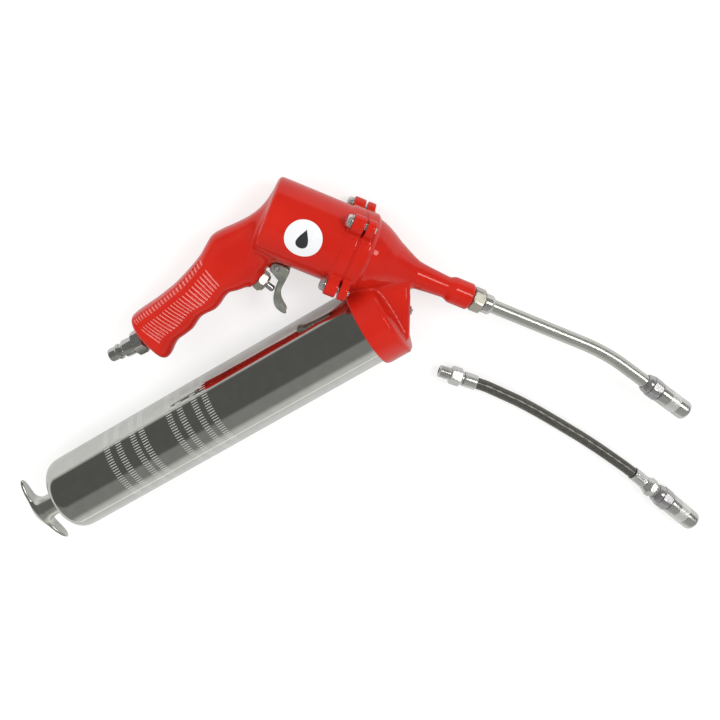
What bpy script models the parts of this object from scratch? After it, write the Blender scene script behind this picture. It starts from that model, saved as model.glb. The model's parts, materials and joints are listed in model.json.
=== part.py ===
"""Air-operated pistol-grip grease gun and its loose flexible hose, lying on their side.

Lengths are in millimetres and MM turns them into metres where meshes and empties are made.
Design frame: X runs along the air cylinder's axis to the outlet, Y across it away from the
grip, Z out of the gun's side, with z = 0 on its plane of symmetry and x = 0 on the seam
between the two castings. bench() then stands the whole model on z = 0, centred on the gun.
"""
import bpy
import bmesh
import math
from mathutils import Matrix, Vector

MM = 0.001
GAP = 0.3                       # clearance between touching pieces

# Air motor: cylinder, flange and screws
CYL_R = 28.0
CYL_BORE = 25.3
CYL_REAR = -65.2
BORE_REAR = -57.5
FLANGE_R = 29.4
FLANGE_T = 9.2                  # thickness of each casting's flange
SEAM = 0.65                     # half the gap that the gasket fills
LUG_PCD_R = 34.0
LUG_R = 6.3
LUG_FRONT = 6.7                 # the front lugs are thinner than their flange
LUG_STEP = 0.15                 # lug faces stand back from the flange faces
SCREW_R = 2.5
SCREW_HOLE_R = SCREW_R + GAP
PLUNGER_R = 4.0
PLUNGER_END = 36.0

# Outlet: nose, tube and coupler
NOSE_END = 92.5
HEX_END = 101.5
TUBE_R = 5.0
TUBE_BORE = 2.4
BEND_X = 182.4
BEND_R = 155.0
BEND_DEG = 13.7
TUBE_TAIL = 20.5                # straight run after the bend, up to the coupler
COUPLER_L = 41.2
COUPLER_R = 7.45
HEX_CORNER = 8.06               # the hexagon's corners are turned down to this radius

# Reservoir
BARREL_END = Vector((-125.9, -269.5, 0.0))
BARREL_DEG = 54.4
BARREL_R = 28.5
BARREL_WALL = 0.8
BARREL_L = 283.1
CAP_RIM = 271.8
CAP_R = 32.0
CAP_TOP = 290.6
ROD_R = 3.2
WEB_HALF = 10.0                 # half the web's width at the pump's axis
WEB_TAPER = 0.26                # and how fast it widens towards the cap

# Trigger, valve and air inlet
PIVOT = Vector((-43.2, -32.2, 0.0))
PIN_R = 1.75
TRIGGER_W = 12.0
LUG_W = 5.4
VALVE_SEAT = Vector((-53.0, -45.2, 0.0))
VALVE_DEG = -16.6
STEM_R = 2.45
STEM_TIP = 14.6
INLET = Vector((-110.9, -120.8, 0.0))
INLET_DEG = -130.2

# Vent valve on the front edge of the reservoir web
VENT = Vector((56.0, -26.1, 0.0))
VENT_DEG = 22.2

# Loose hose
HOSE_R = 4.5
HOSE_Z = -23.4                  # height of its fittings' axis below the plane of symmetry
HOSE_IN = Vector((131.5, -67.3, HOSE_Z))
HOSE_IN_DEG = 3.2
HOSE_OUT = Vector((279.5, -89.3, HOSE_Z))
HOSE_OUT_DEG = -17.4
HOSE_COUPLER_AT = 26.2          # from HOSE_OUT to the start of the coupler
HOSE_COUPLER_SIZE = 1.06        # it is a slightly larger coupler than the gun's
HOSE_ROUTE = [
    (131.8, -67.3, -23.4), (139.4, -67.0, -23.6), (147.6, -67.5, -24.2), (157.8, -68.4, -25.2),
    (168.0, -69.3, -26.2), (178.1, -70.6, -26.9), (188.2, -72.0, -27.2), (198.1, -73.5, -27.2),
    (208.2, -75.1, -27.2), (218.2, -76.8, -27.2), (228.2, -78.5, -27.2), (238.2, -80.4, -26.9),
    (248.1, -82.3, -26.2), (257.9, -84.3, -25.2), (267.8, -86.4, -24.2), (275.0, -88.1, -23.6),
    (279.3, -89.25, -23.4),
]
HOSE_POINTS = 24                # along the tube's curve

# Grip: back and front edge of each cross-section, and half its width
GRIP = [
    ((-62.5, 8.0), (-36.0, -6.0), 10.0),
    ((-69.0, 0.5), (-43.0, -17.0), 12.0),
    ((-76.0, -8.5), (-49.0, -26.0), 13.0),
    ((-83.5, -17.0), (-50.6, -35.5), 13.6),
    ((-90.5, -25.3), (-53.4, -45.5), 14.0),
    ((-94.6, -34.0), (-57.0, -53.5), 14.3),
    ((-95.7, -45.0), (-64.3, -60.2), 14.6),
    ((-98.4, -57.5), (-69.2, -66.0), 14.8),
    ((-102.8, -69.0), (-72.2, -75.8), 14.8),
    ((-108.3, -80.5), (-79.2, -87.8), 14.6),
    ((-114.4, -91.0), (-82.4, -99.6), 14.6),
    ((-120.6, -99.4), (-88.2, -109.2), 14.8),
    ((-124.6, -104.6), (-90.6, -118.6), 15.0),
    ((-124.4, -109.6), (-94.0, -127.4), 14.6),
    ((-118.6, -114.6), (-99.6, -128.2), 11.6),
]
GRIP_SIDES = 16
GRIP_POWER = 2.5                # superellipse exponent of the cross-section

RED = ("red_paint", (0.60, 0.028, 0.016), 0.32, 0.0)
CHROME = ("chrome", (0.60, 0.61, 0.59), 0.12, 1.0)
STEEL = ("steel", (0.45, 0.46, 0.43), 0.28, 1.0)
DARK = ("dark_casting", (0.11, 0.12, 0.10), 0.45, 0.6)
BRASS = ("nickelled_brass", (0.50, 0.47, 0.40), 0.30, 1.0)
RUBBER = ("black_rubber", (0.03, 0.03, 0.028), 0.60, 0.0)
WHITE = ("white_label", (0.85, 0.85, 0.84), 0.40, 0.0)

HEX = 6


# ---------------------------------------------------------------- helpers

def clear_scene():
    for thing in list(bpy.data.objects):
        bpy.data.objects.remove(thing, do_unlink=True)


def material(name, spec):
    """A Principled material of the node's own, from a (finish, colour, roughness, metallic)."""
    finish, colour, roughness, metallic = spec
    made = bpy.data.materials.new(f"{finish}.{name}")
    made.use_nodes = True
    shader = made.node_tree.nodes["Principled BSDF"]
    shader.inputs["Base Color"].default_value = (*colour, 1.0)
    shader.inputs["Roughness"].default_value = roughness
    shader.inputs["Metallic"].default_value = metallic
    made.diffuse_color = (*colour, 1.0)
    return made


def heading(degrees):
    """Unit vector in the gun's plane, at an angle from +X."""
    return Vector((math.cos(math.radians(degrees)), math.sin(math.radians(degrees)), 0.0))


def frame_empty(name, at, degrees, parent):
    """An empty whose +Z runs along a heading and whose +X points up, out of the gun's side."""
    along = heading(degrees)
    up = Vector((0.0, 0.0, 1.0))
    turn = Matrix((up, along.cross(up), along)).transposed()
    made = bpy.data.objects.new(name, None)
    made.empty_display_size = 10 * MM
    made.matrix_local = Matrix.Translation(at * MM) @ turn.to_4x4()
    bpy.context.scene.collection.objects.link(made)
    made.parent = parent
    return made


def add_object(name, bm, parent, spec=None, smooth=35.0):
    """Turn a bmesh into an object. Without a material it's a construction shape."""
    bmesh.ops.recalc_face_normals(bm, faces=bm.faces)
    mesh = bpy.data.meshes.new(name)
    bm.to_mesh(mesh)
    bm.free()
    made = bpy.data.objects.new(name, mesh)
    bpy.context.scene.collection.objects.link(made)
    made.parent = parent
    if spec is None:
        made.hide_render = True
        made.display_type = "WIRE"
    else:
        mesh.materials.append(material(name, spec))
        mesh.shade_smooth()
        mesh.set_sharp_from_angle(angle=math.radians(smooth))
    return made


def boolean(target, tool, operation):
    step = target.modifiers.new(f"{operation.lower()}_{tool.name}", "BOOLEAN")
    step.operation = operation
    step.solver = "EXACT"
    step.object = tool
    return step


def ring_radius(radius, angle, sides):
    """Radius of a ring at one angle: round, or a polygon whose flats are radius from the axis."""
    if not sides:
        return radius
    step = 2 * math.pi / sides
    return radius / math.cos(angle % step - step / 2)


def turn_into(bm, profile, segments, shift=(0.0, 0.0)):
    """Revolve a profile of (radius, height[, sides[, corner radius]]) about +Z into bm.

    A profile that starts and ends on the axis makes a solid; any other is closed into a ring.
    """
    rings = []
    for radius, height, *sides in profile:
        if radius == 0:
            rings.append([bm.verts.new(Vector((*shift, height)) * MM)])
            continue
        ring = []
        for index in range(segments):
            angle = 2 * math.pi * index / segments
            reach = min([ring_radius(radius, angle, sides[0] if sides else 0), *sides[1:]])
            spot = Vector((reach * math.cos(angle) + shift[0], reach * math.sin(angle) + shift[1], height))
            ring.append(bm.verts.new(spot * MM))
        rings.append(ring)
    pairs = list(zip(rings, rings[1:]))
    if profile[0][0] > 0:
        pairs.append((rings[-1], rings[0]))
    for lower, upper in pairs:
        for index in range(segments):
            after = (index + 1) % segments
            corners = [lower[index % len(lower)], lower[after % len(lower)],
                       upper[after % len(upper)], upper[index % len(upper)]]
            bm.faces.new(list(dict.fromkeys(corners)))


def turned(name, profile, parent, spec=None, segments=12):
    bm = bmesh.new()
    turn_into(bm, profile, segments)
    return add_object(name, bm, parent, spec)


def drill(name, parent, radius, start, end, segments=12):
    """A plain round construction shape from start to end along the frame's +Z."""
    return turned(name, [(0, start), (radius, start), (radius, end), (0, end)], parent, segments=segments)


def passage(name, root, start, end, radius):
    """A round construction shape between two points of the gun's plane."""
    run = Vector(end) - Vector(start)
    degrees = math.degrees(math.atan2(run.y, run.x))
    frame = frame_empty(f"{name}_frame", Vector((*start, 0.0)), degrees, root)
    return drill(name, frame, radius, 0.0, run.length, segments=12)


def prism(name, outline, z0, z1, parent, spec=None, bevel=0.0):
    """Extrude an outline of the parent's XY plane from z0 to z1, with optional bevelled edges."""
    bm = bmesh.new()
    base = bm.faces.new([bm.verts.new(Vector((x, y, z0)) * MM) for x, y in outline])
    grown = bmesh.ops.extrude_face_region(bm, geom=[base])
    moved = [item for item in grown["geom"] if isinstance(item, bmesh.types.BMVert)]
    bmesh.ops.translate(bm, verts=moved, vec=(0.0, 0.0, (z1 - z0) * MM))
    made = add_object(name, bm, parent, spec)
    if bevel:
        soften = made.modifiers.new("edges", "BEVEL")
        soften.width = bevel * MM
        soften.segments = 1
        soften.limit_method = "ANGLE"
    return made


def sweep_into(bm, points, radius_at, sides, bore=0.0):
    """Sweep a round section along points whose section planes stay upright or follow a coil."""
    count = len(points)
    rings = []
    side_hint = Vector((0.0, 0.0, 1.0))
    for index, point in enumerate(points):
        ahead = points[min(index + 1, count - 1)] - points[max(index - 1, 0)]
        ahead.normalize()
        across = ahead.cross(side_hint)
        if across.length < 0.2:
            across = ahead.cross(Vector((1.0, 0.0, 0.0)))
        across.normalize()
        upward = across.cross(ahead)
        circle = [(math.cos(2 * math.pi * k / sides), math.sin(2 * math.pi * k / sides))
                  for k in range(sides)]
        radii = [radius_at(index)] + ([bore] if bore else [])
        rings.append([[bm.verts.new((point + (across * c + upward * s) * r) * MM) for c, s in circle]
                      for r in radii])
    for layer in range(2 if bore else 1):
        for first, second in zip(rings, rings[1:]):
            for k in range(sides):
                after = (k + 1) % sides
                bm.faces.new([first[layer][k], first[layer][after],
                              second[layer][after], second[layer][k]])
    for end in (rings[0], rings[-1]):
        if not bore:
            bm.faces.new(end[0])
            continue
        for k in range(sides):
            after = (k + 1) % sides
            bm.faces.new([end[0][k], end[0][after], end[1][after], end[1][k]])


def coil(name, parent, start, end, radius_start, radius_end, wire, turns, spec, per_turn=8, sides=4):
    """A compression spring along the frame's +Z, with a closed dead turn at each end."""
    count = int(turns * per_turn) + 1
    points = []
    for index in range(count):
        along = index / (count - 1)
        wound = along * turns
        live = min(max((wound - 0.8) / (turns - 1.6), 0.0), 1.0)
        radius = radius_start + (radius_end - radius_start) * live
        height = start + wire + (end - start - 2 * wire) * live
        lead = 2.1 * wire * (min(wound, 0.8) - 0.8 + max(wound - turns + 0.8, 0.0))
        height += lead + 2.1 * wire * 0.8 * (1 - 2 * live)
        angle = 2 * math.pi * wound
        points.append(Vector((radius * math.cos(angle), radius * math.sin(angle), height)))
    bm = bmesh.new()
    sweep_into(bm, points, lambda index: wire, sides)
    return add_object(name, bm, parent, spec)


def smooth_points(route, count):
    """Evenly stepped points on the Catmull-Rom curve through a route."""
    knots = [Vector(point) for point in route]
    knots = [2 * knots[0] - knots[1]] + knots + [2 * knots[-1] - knots[-2]]
    spans = len(knots) - 3
    made = []
    for index in range(count):
        place = index / (count - 1) * spans
        span = min(int(place), spans - 1)
        t = place - span
        a, b, c, d = knots[span:span + 4]
        made.append(0.5 * (2 * b + (c - a) * t + (2 * a - 5 * b + 4 * c - d) * t ** 2
                           + (3 * b - a - 3 * c + d) * t ** 3))
    return made


# ---------------------------------------------------------------- castings

def lug_blocks(name, parent, start, end):
    """Four round-ended lugs about the cylinder axis, at 45 degrees to the gun's plane."""
    bm = bmesh.new()
    inner = CYL_BORE + 1.4
    arc = [math.radians(-90 + 36 * k) for k in range(6)]
    outline = [(inner, -LUG_R)] + [(LUG_PCD_R + LUG_R * math.cos(a), LUG_R * math.sin(a)) for a in arc]
    outline.append((inner, LUG_R))
    for quarter in range(4):
        turn = math.radians(45 + 90 * quarter)
        corners = [(x * math.cos(turn) - y * math.sin(turn), x * math.sin(turn) + y * math.cos(turn))
                   for x, y in outline]
        low, high = ([bm.verts.new(Vector((x, y, z)) * MM) for x, y in corners] for z in (start, end))
        bm.faces.new(low)
        bm.faces.new(high)
        for k in range(len(corners)):
            after = (k + 1) % len(corners)
            bm.faces.new([low[k], low[after], high[after], high[k]])
    lugs = add_object(name, bm, parent)
    hole = [(0, start - 5), (SCREW_HOLE_R, start - 5), (SCREW_HOLE_R, end + 5), (0, end + 5)]
    boolean(lugs, drilled_holes(f"{name}_holes", hole, screw_spots(), parent), "DIFFERENCE")
    return lugs


def screw_spots():
    return [(LUG_PCD_R * math.cos(a), LUG_PCD_R * math.sin(a))
            for a in (math.radians(45 + 90 * quarter) for quarter in range(4))]


def drilled_holes(name, profile, spots, parent):
    """One construction shape with the same turned hole at each spot."""
    bm = bmesh.new()
    for spot in spots:
        turn_into(bm, profile, 12, shift=spot)
    return add_object(name, bm, parent)


def repeat(first, matrices):
    """Name an object NAME_1 and place a copy that shares its mesh at each further matrix."""
    name = first.name
    first.name = f"{name}_1"
    first.matrix_local = matrices[0]
    for number, matrix in enumerate(matrices[1:], start=2):
        copy = bpy.data.objects.new(f"{name}_{number}", first.data)
        bpy.context.scene.collection.objects.link(copy)
        copy.parent = first.parent
        copy.matrix_local = matrix


def grip_loft(name, parent):
    """The grip's solid: superellipse sections between the back and the front edge."""
    bm = bmesh.new()
    rings = []
    for back, front, half in GRIP:
        back, front = Vector((*back, 0.0)), Vector((*front, 0.0))
        middle, reach = (back + front) / 2, (front - back) / 2
        ring = []
        for k in range(GRIP_SIDES):
            angle = 2 * math.pi * k / GRIP_SIDES
            c, s = math.cos(angle), math.sin(angle)
            bulge = (abs(c) ** GRIP_POWER + abs(s) ** GRIP_POWER) ** (-1 / GRIP_POWER)
            ring.append(bm.verts.new((middle + reach * c * bulge + Vector((0, 0, half * s * bulge))) * MM))
        rings.append(ring)
    for first, second in zip(rings, rings[1:]):
        for k in range(GRIP_SIDES):
            after = (k + 1) % GRIP_SIDES
            bm.faces.new([first[k], first[after], second[after], second[k]])
    bm.faces.new(rings[0])
    bm.faces.new(rings[-1])
    bmesh.ops.triangulate(bm, faces=bm.faces)
    return add_object(name, bm, parent)


def rear_body(root, frames):
    """Rear casting: air cylinder, half the flange, grip, valve boss and trigger lug."""
    air = frames["air"]
    profile = [(0, CYL_REAR), (21, CYL_REAR + 0.1), (26.2, CYL_REAR + 0.9), (27.6, CYL_REAR + 2.3),
               (CYL_R, CYL_REAR + 8), (CYL_R, -FLANGE_T - 0.6), (FLANGE_R, -FLANGE_T + 1.4),
               (FLANGE_R, -SEAM), (0, -SEAM)]
    body = turned("rear_body", profile, air, RED, segments=28)
    boolean(body, lug_blocks("rear_lugs", air, -FLANGE_T, -SEAM - LUG_STEP), "UNION")
    boolean(body, grip_loft("grip_loft", root), "UNION")
    seat = [(0, -22), (8.6, -22), (8.6, -1.2), (7.9, 0), (0, 0)]
    boolean(body, turned("valve_boss", seat, frames["valve"], segments=16), "UNION")
    ear = [(-53.0, -22.0), (-38.6, -24.6), (-38.9, -31.0), (-40.4, -34.6), (-43.2, -36.0),
           (-46.6, -35.2), (-53.0, -33.4)]
    boolean(body, prism("trigger_lug", ear, -LUG_W / 2, LUG_W / 2, root), "UNION")
    valve_bore = [(0, -26.2), (4.6, -26.2), (4.6, -14.4), (6.05, -14.4), (6.05, 3), (0, 3)]
    boolean(body, turned("valve_bore", valve_bore, frames["valve"], segments=16), "DIFFERENCE")
    boolean(body, drill("inlet_bore", frames["inlet"], 5.9, -11.6, 8.0), "DIFFERENCE")
    boolean(body, passage("grip_passage", root, (-101.6, -110.4), (-76.0, -38.8), 3.4), "DIFFERENCE")
    boolean(body, passage("cylinder_port", root, (-72.5, -39.0), (-50.0, -13.0), 2.2), "DIFFERENCE")
    boolean(body, drill("trigger_pin_hole", frames["pivot"], PIN_R + GAP, -8, 8), "DIFFERENCE")
    boolean(body, drill("cylinder_bore", air, CYL_BORE, BORE_REAR, 5.0, segments=28), "DIFFERENCE")
    return body


def front_head(root, frames):
    """Front casting: half the flange, pump nose, reservoir cap and the web between them."""
    air, barrel = frames["air"], frames["barrel"]
    outer = [(0, SEAM), (FLANGE_R, SEAM), (FLANGE_R, FLANGE_T - 0.6), (28.2, FLANGE_T + 1.0),
             (26.8, 11.6), (25.7, 15.5), (24.2, 19.4), (21.6, 24.6), (18.3, 30.2), (14.3, 38.4),
             (11.6, 44.4), (10.1, 48.6), (9.4, 53.0), (7.9, 71.5), (7.9, 73.6), (9.7, 78.0),
             (9.7, 90.4), (8.4, NOSE_END), (0, NOSE_END)]
    head = turned("front_head", outer, air, RED, segments=28)
    boolean(head, lug_blocks("front_lugs", air, SEAM + LUG_STEP, LUG_FRONT), "UNION")
    cap = [(0, CAP_RIM), (CAP_R - 1, CAP_RIM), (CAP_R, CAP_RIM + 1.2), (CAP_R, CAP_TOP - 0.4),
           (CAP_R - 1.8, CAP_TOP + 1.6), (24, CAP_TOP + 3.6), (13, CAP_TOP + 5), (0, CAP_TOP + 5.4)]
    boolean(head, turned("reservoir_cap", cap, barrel, segments=28), "UNION")
    web = [(61.6, -40.0), (51.0, -14.0), (46.0, -4.0), (22.0, -12.0), (20.0, -30.0), (32.0, -46.0),
           (54.0, -49.0)]
    block = prism("reservoir_web", web, -1.0, 1.0, root, bevel=3.2)
    for vertex in block.data.vertices:
        vertex.co.z *= WEB_HALF - WEB_TAPER * vertex.co.y / MM
    boolean(head, block, "UNION")
    socket = [(0, CAP_RIM - 3), (BARREL_R + GAP, CAP_RIM - 3), (BARREL_R + GAP, BARREL_L + 2.6),
              (24.2, BARREL_L + 2.6), (19.0, BARREL_L + 4.8), (0, BARREL_L + 6.2)]
    boolean(head, turned("barrel_socket", socket, barrel, segments=28), "DIFFERENCE")
    boolean(head, passage("grease_port", root, (41.0, -35.5), (43.0, -1.0), 2.9), "DIFFERENCE")
    vent = [(0, -19), (1.3, -19), (1.3, -8.6), (2.6, -8.6), (2.6, 4), (0, 4)]
    boolean(head, turned("vent_bore", vent, frames["vent"], segments=12), "DIFFERENCE")
    # Spring recess, plunger gland and bore, ball seat, ball chamber and outlet thread, in one tool.
    bore = [(0, -4), (20.5, -4), (20.5, 8.0), (14.0, 16.0), (7.2, 16.0), (7.2, 22.0),
            (PLUNGER_R + GAP, 22.0), (PLUNGER_R + GAP, 60.0), (2.2, 60.0), (2.2, 63.6), (4.3, 64.6),
            (4.3, 79.6), (5.3, 79.6), (5.3, NOSE_END + 4), (0, NOSE_END + 4)]
    boolean(head, turned("pump_bore", bore, air, segments=20), "DIFFERENCE")
    return head


# ---------------------------------------------------------------- air motor

def flange_parts(air):
    sheet = [(CYL_BORE + 0.2, -SEAM + GAP), (FLANGE_R - 0.1, -SEAM + GAP),
             (FLANGE_R - 0.1, SEAM - GAP), (CYL_BORE + 0.2, SEAM - GAP)]
    turned("flange_gasket", sheet, air, RUBBER, segments=28)
    washer_top = -FLANGE_T - GAP
    head_top = washer_top - 0.8 - GAP
    washer = [(SCREW_HOLE_R, washer_top - 0.8), (4.9, washer_top - 0.8), (4.9, washer_top),
              (SCREW_HOLE_R, washer_top)]
    places = [Matrix.Translation(Vector((*spot, 0.0)) * MM) for spot in screw_spots()]
    repeat(turned("flange_washer", washer, air, STEEL, segments=16), places)
    screw = [(0, head_top - 1.4), (2.0, head_top - 1.4, HEX), (2.0, head_top - 2.8, HEX),
             (3.2, head_top - 2.8), (4.1, head_top - 2.2), (4.5, head_top - 1.2), (4.5, head_top),
             (SCREW_R, head_top),
             (SCREW_R, LUG_FRONT + 0.6), (SCREW_R - 0.7, LUG_FRONT + 1.3), (0, LUG_FRONT + 1.3)]
    repeat(turned("flange_screw", screw, air, STEEL, segments=12), places)


def label(air):
    """A round label wrapped on the cylinder's upper side, slightly turned away from the grip."""
    bm = bmesh.new()
    centre_x, turn, radius, rings, spokes = -35.5, -1.4, 12.9, 3, 20
    layers = []
    for lift in (CYL_R + GAP, CYL_R + GAP + 0.4):
        middle = turn / lift
        rows = [[bm.verts.new(Vector((lift * math.cos(middle), lift * math.sin(middle), centre_x)) * MM)]]
        for ring in range(1, rings + 1):
            reach = radius * ring / rings
            row = []
            for k in range(spokes):
                angle = 2 * math.pi * k / spokes
                bend = (reach * math.cos(angle) + turn) / lift
                row.append(bm.verts.new(Vector((lift * math.cos(bend), lift * math.sin(bend),
                                                centre_x + reach * math.sin(angle))) * MM))
            rows.append(row)
        for first, second in zip(rows, rows[1:]):
            for k in range(spokes):
                after = (k + 1) % spokes
                corners = [first[k % len(first)], first[after % len(first)], second[after], second[k]]
                bm.faces.new(list(dict.fromkeys(corners)))
        layers.append(rows[-1])
    for k in range(spokes):
        after = (k + 1) % spokes
        bm.faces.new([layers[0][k], layers[0][after], layers[1][after], layers[1][k]])
    add_object("label_disc", bm, air, WHITE)


def air_motor(air):
    piston = [(3.3, -52.0), (8.5, -52.0), (8.5, -56.0), (23.6, -56.0), (24.8, -55.0), (24.8, -51.7),
              (22.2, -51.7), (22.2, -48.2), (24.8, -48.2), (24.8, -45.0), (23.6, -44.0), (3.3, -44.0)]
    turned("air_piston", piston, air, STEEL, segments=20)
    ring = [(22.5, -51.2), (24.3, -51.4), (25.0, -50.6), (25.0, -49.3), (24.3, -48.5), (22.5, -48.7)]
    turned("piston_seal", ring, air, RUBBER, segments=20)
    nut = [(3.3, -52.3), (5.2, -52.3, HEX), (5.2, -56.4, HEX), (3.3, -56.4)]
    turned("piston_nut", nut, air, STEEL, segments=12)
    plunger = [(0, -56.9), (2.6, -56.9), (3.0, -56.3), (3.0, -43.7), (PLUNGER_R, -43.7),
               (PLUNGER_R, PLUNGER_END - 1), (PLUNGER_R - 1, PLUNGER_END), (0, PLUNGER_END)]
    turned("plunger", plunger, air, CHROME, segments=16)
    coil("return_spring", air, -43.6, 15.6, 10.6, 10.6, 1.1, 8.0, STEEL)
    bush = [(PLUNGER_R + GAP, 16.3), (6.9, 16.3), (6.9, 18.8), (PLUNGER_R + GAP, 18.8)]
    turned("plunger_bush", bush, air, BRASS, segments=16)
    seal = [(PLUNGER_R + GAP, 19.1), (6.9, 19.1), (6.9, 21.6), (5.8, 21.6), (5.5, 20.4), (5.2, 20.4),
            (4.9, 21.6), (PLUNGER_R + GAP, 21.6)]
    turned("plunger_seal", seal, air, RUBBER, segments=16)


# ---------------------------------------------------------------- outlet

def check_valve(air):
    bm = bmesh.new()
    bmesh.ops.create_uvsphere(bm, u_segments=12, v_segments=8, radius=3.2 * MM)
    bmesh.ops.translate(bm, verts=bm.verts, vec=(0, 0, 66.4 * MM))
    add_object("check_ball", bm, air, STEEL)
    coil("check_spring", air, 69.9, 79.5, 2.5, 2.5, 0.35, 6.0, STEEL)


def tube_path():
    """Centre line of the extension tube: straight, one gentle bend, then a short straight tail."""
    points = [Vector((x, 0.0, 0.0)) for x in (HEX_END - 6.2, 140.0)]
    steps = 5
    for step in range(steps + 1):
        turn = math.radians(BEND_DEG * step / steps)
        points.append(Vector((BEND_X + BEND_R * math.sin(turn), -BEND_R * (1 - math.cos(turn)), 0.0)))
    points.append(points[-1] + heading(-BEND_DEG) * (TUBE_TAIL + 9.6))
    return points


def coupler_start():
    return tube_path()[-1] - heading(-BEND_DEG) * 9.6


def outlet_parts(root, air):
    adaptor = [(2.0, 79.9), (4.4, 79.9), (5.0, 80.7), (5.0, NOSE_END + GAP), (7.8, NOSE_END + GAP),
               (8.0, 93.6, HEX), (8.0, HEX_END - 0.8, HEX), (7.6, HEX_END), (TUBE_R + GAP, HEX_END),
               (TUBE_R + GAP, HEX_END - 6.5), (2.0, HEX_END - 6.5)]
    turned("outlet_adaptor", adaptor, air, STEEL)
    nut = [(TUBE_R + GAP, HEX_END + GAP), (6.9, HEX_END + GAP), (7.1, 102.4), (7.1, 107.2), (6.6, 108.2),
           (5.8, 109.2), (TUBE_R + GAP, 109.2)]
    turned("tube_nut", nut, air, CHROME)
    bm = bmesh.new()
    sweep_into(bm, tube_path(), lambda index: TUBE_R, 12, bore=TUBE_BORE)
    add_object("extension_tube", bm, root, CHROME)


def coupler(prefix, frame, bore, size=1.0):
    """Hydraulic grease coupler on a frame: body, screwed sleeve, three jaws and a seal."""
    def sized(profile):
        return [(radius * size, height * size, *rest[:1], *(corner * size for corner in rest[1:]))
                for radius, height, *rest in profile]

    hexagon = [(7.5, 5.0, HEX, HEX_CORNER), (7.5, 12.8, HEX, HEX_CORNER)]
    body = [(bore / size, 0.0), (6.3, 0.0), (6.9, 1.0), (7.2, 3.0), (7.3, 4.6), *hexagon, (7.0, 13.3),
            (4.6, 13.3), (4.6, 20.0), (1.8, 20.0), (1.8, 10.0), (bore / size, 10.0)]
    turned(f"{prefix}_body", sized(body), frame, STEEL, segments=24)
    sleeve = [(4.9, 13.6), (7.0, 13.6), (COUPLER_R, 14.2), (COUPLER_R, 38.0), (7.3, 39.5),
              (6.0, COUPLER_L), (4.5, COUPLER_L), (4.5, 39.2), (5.5, 38.2), (5.5, 20.6), (4.9, 20.6)]
    turned(f"{prefix}_sleeve", sized(sleeve), frame, CHROME, segments=16)
    seal = [(1.4, 20.9), (5.0, 20.9), (5.0, 23.4), (3.2, 23.4), (2.6, 22.4), (1.4, 22.4)]
    turned(f"{prefix}_seal", sized(seal), frame, RUBBER, segments=16)
    bm = bmesh.new()
    section = [(3.3, 23.8), (5.1, 23.8), (5.1, 36.6), (4.2, 38.0), (3.0, 38.0), (2.6, 37.0), (3.3, 35.0)]
    angles = [math.radians(6 + 108 * k / 5) for k in range(6)]
    slices = [[bm.verts.new(Vector((r * math.cos(a), r * math.sin(a), z)) * MM) for r, z in sized(section)]
              for a in angles]
    for first, second in zip(slices, slices[1:]):
        for k in range(len(section)):
            after = (k + 1) % len(section)
            bm.faces.new([first[k], first[after], second[after], second[k]])
    bm.faces.new(slices[0])
    bm.faces.new(slices[-1])
    jaw = add_object(f"{prefix}_jaw", bm, frame, STEEL)
    repeat(jaw, [Matrix.Rotation(math.radians(120 * third), 4, "Z") for third in range(3)])


# ---------------------------------------------------------------- reservoir

def reservoir(root, barrel):
    inner = BARREL_R - BARREL_WALL
    shell = [(4.4, -1.3), (12, -1.0), (19.5, -0.3), (24.2, 1.6), (27.0, 4.6), (28.2, 8.0),
             (BARREL_R, 11.5), (BARREL_R, BARREL_L), (inner, BARREL_L), (inner, 11.7), (27.4, 8.3),
             (26.3, 5.2), (23.8, 2.4), (19.3, 0.5), (12, -0.2), (4.4, -0.5)]
    turned("barrel", shell, barrel, CHROME, segments=28)
    seal = [(24.6, BARREL_L + GAP), (28.3, BARREL_L + GAP), (28.3, BARREL_L + 2.3), (24.6, BARREL_L + 2.3)]
    turned("barrel_gasket", seal, barrel, RUBBER, segments=28)
    plate = [(4.0, 262.0), (20.0, 262.0), (21.0, 260.6), (25.0, 260.6), (26.0, 261.6), (26.0, 264.2),
             (4.0, 264.2)]
    turned("follower_plate", plate, barrel, STEEL, segments=20)
    cup = [(0, 268.2), (9.5, 268.2), (9.5, 264.5), (26.6, 264.5), (27.3, 265.4), (27.3, 281.0),
           (26.4, 281.8), (23.0, 275.0), (0, 273.0)]
    turned("follower_cup", cup, barrel, RUBBER, segments=20)
    rod = [(0, -19.5), (ROD_R, -19.5), (ROD_R, 264.5), (7.8, 264.5), (7.8, 267.4), (0, 267.4)]
    turned("follower_rod", rod, barrel, STEEL, segments=16)
    coil("follower_spring", barrel, 2.0, 260.2, 22.0, 18.5, 1.1, 13.0, STEEL)


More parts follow.
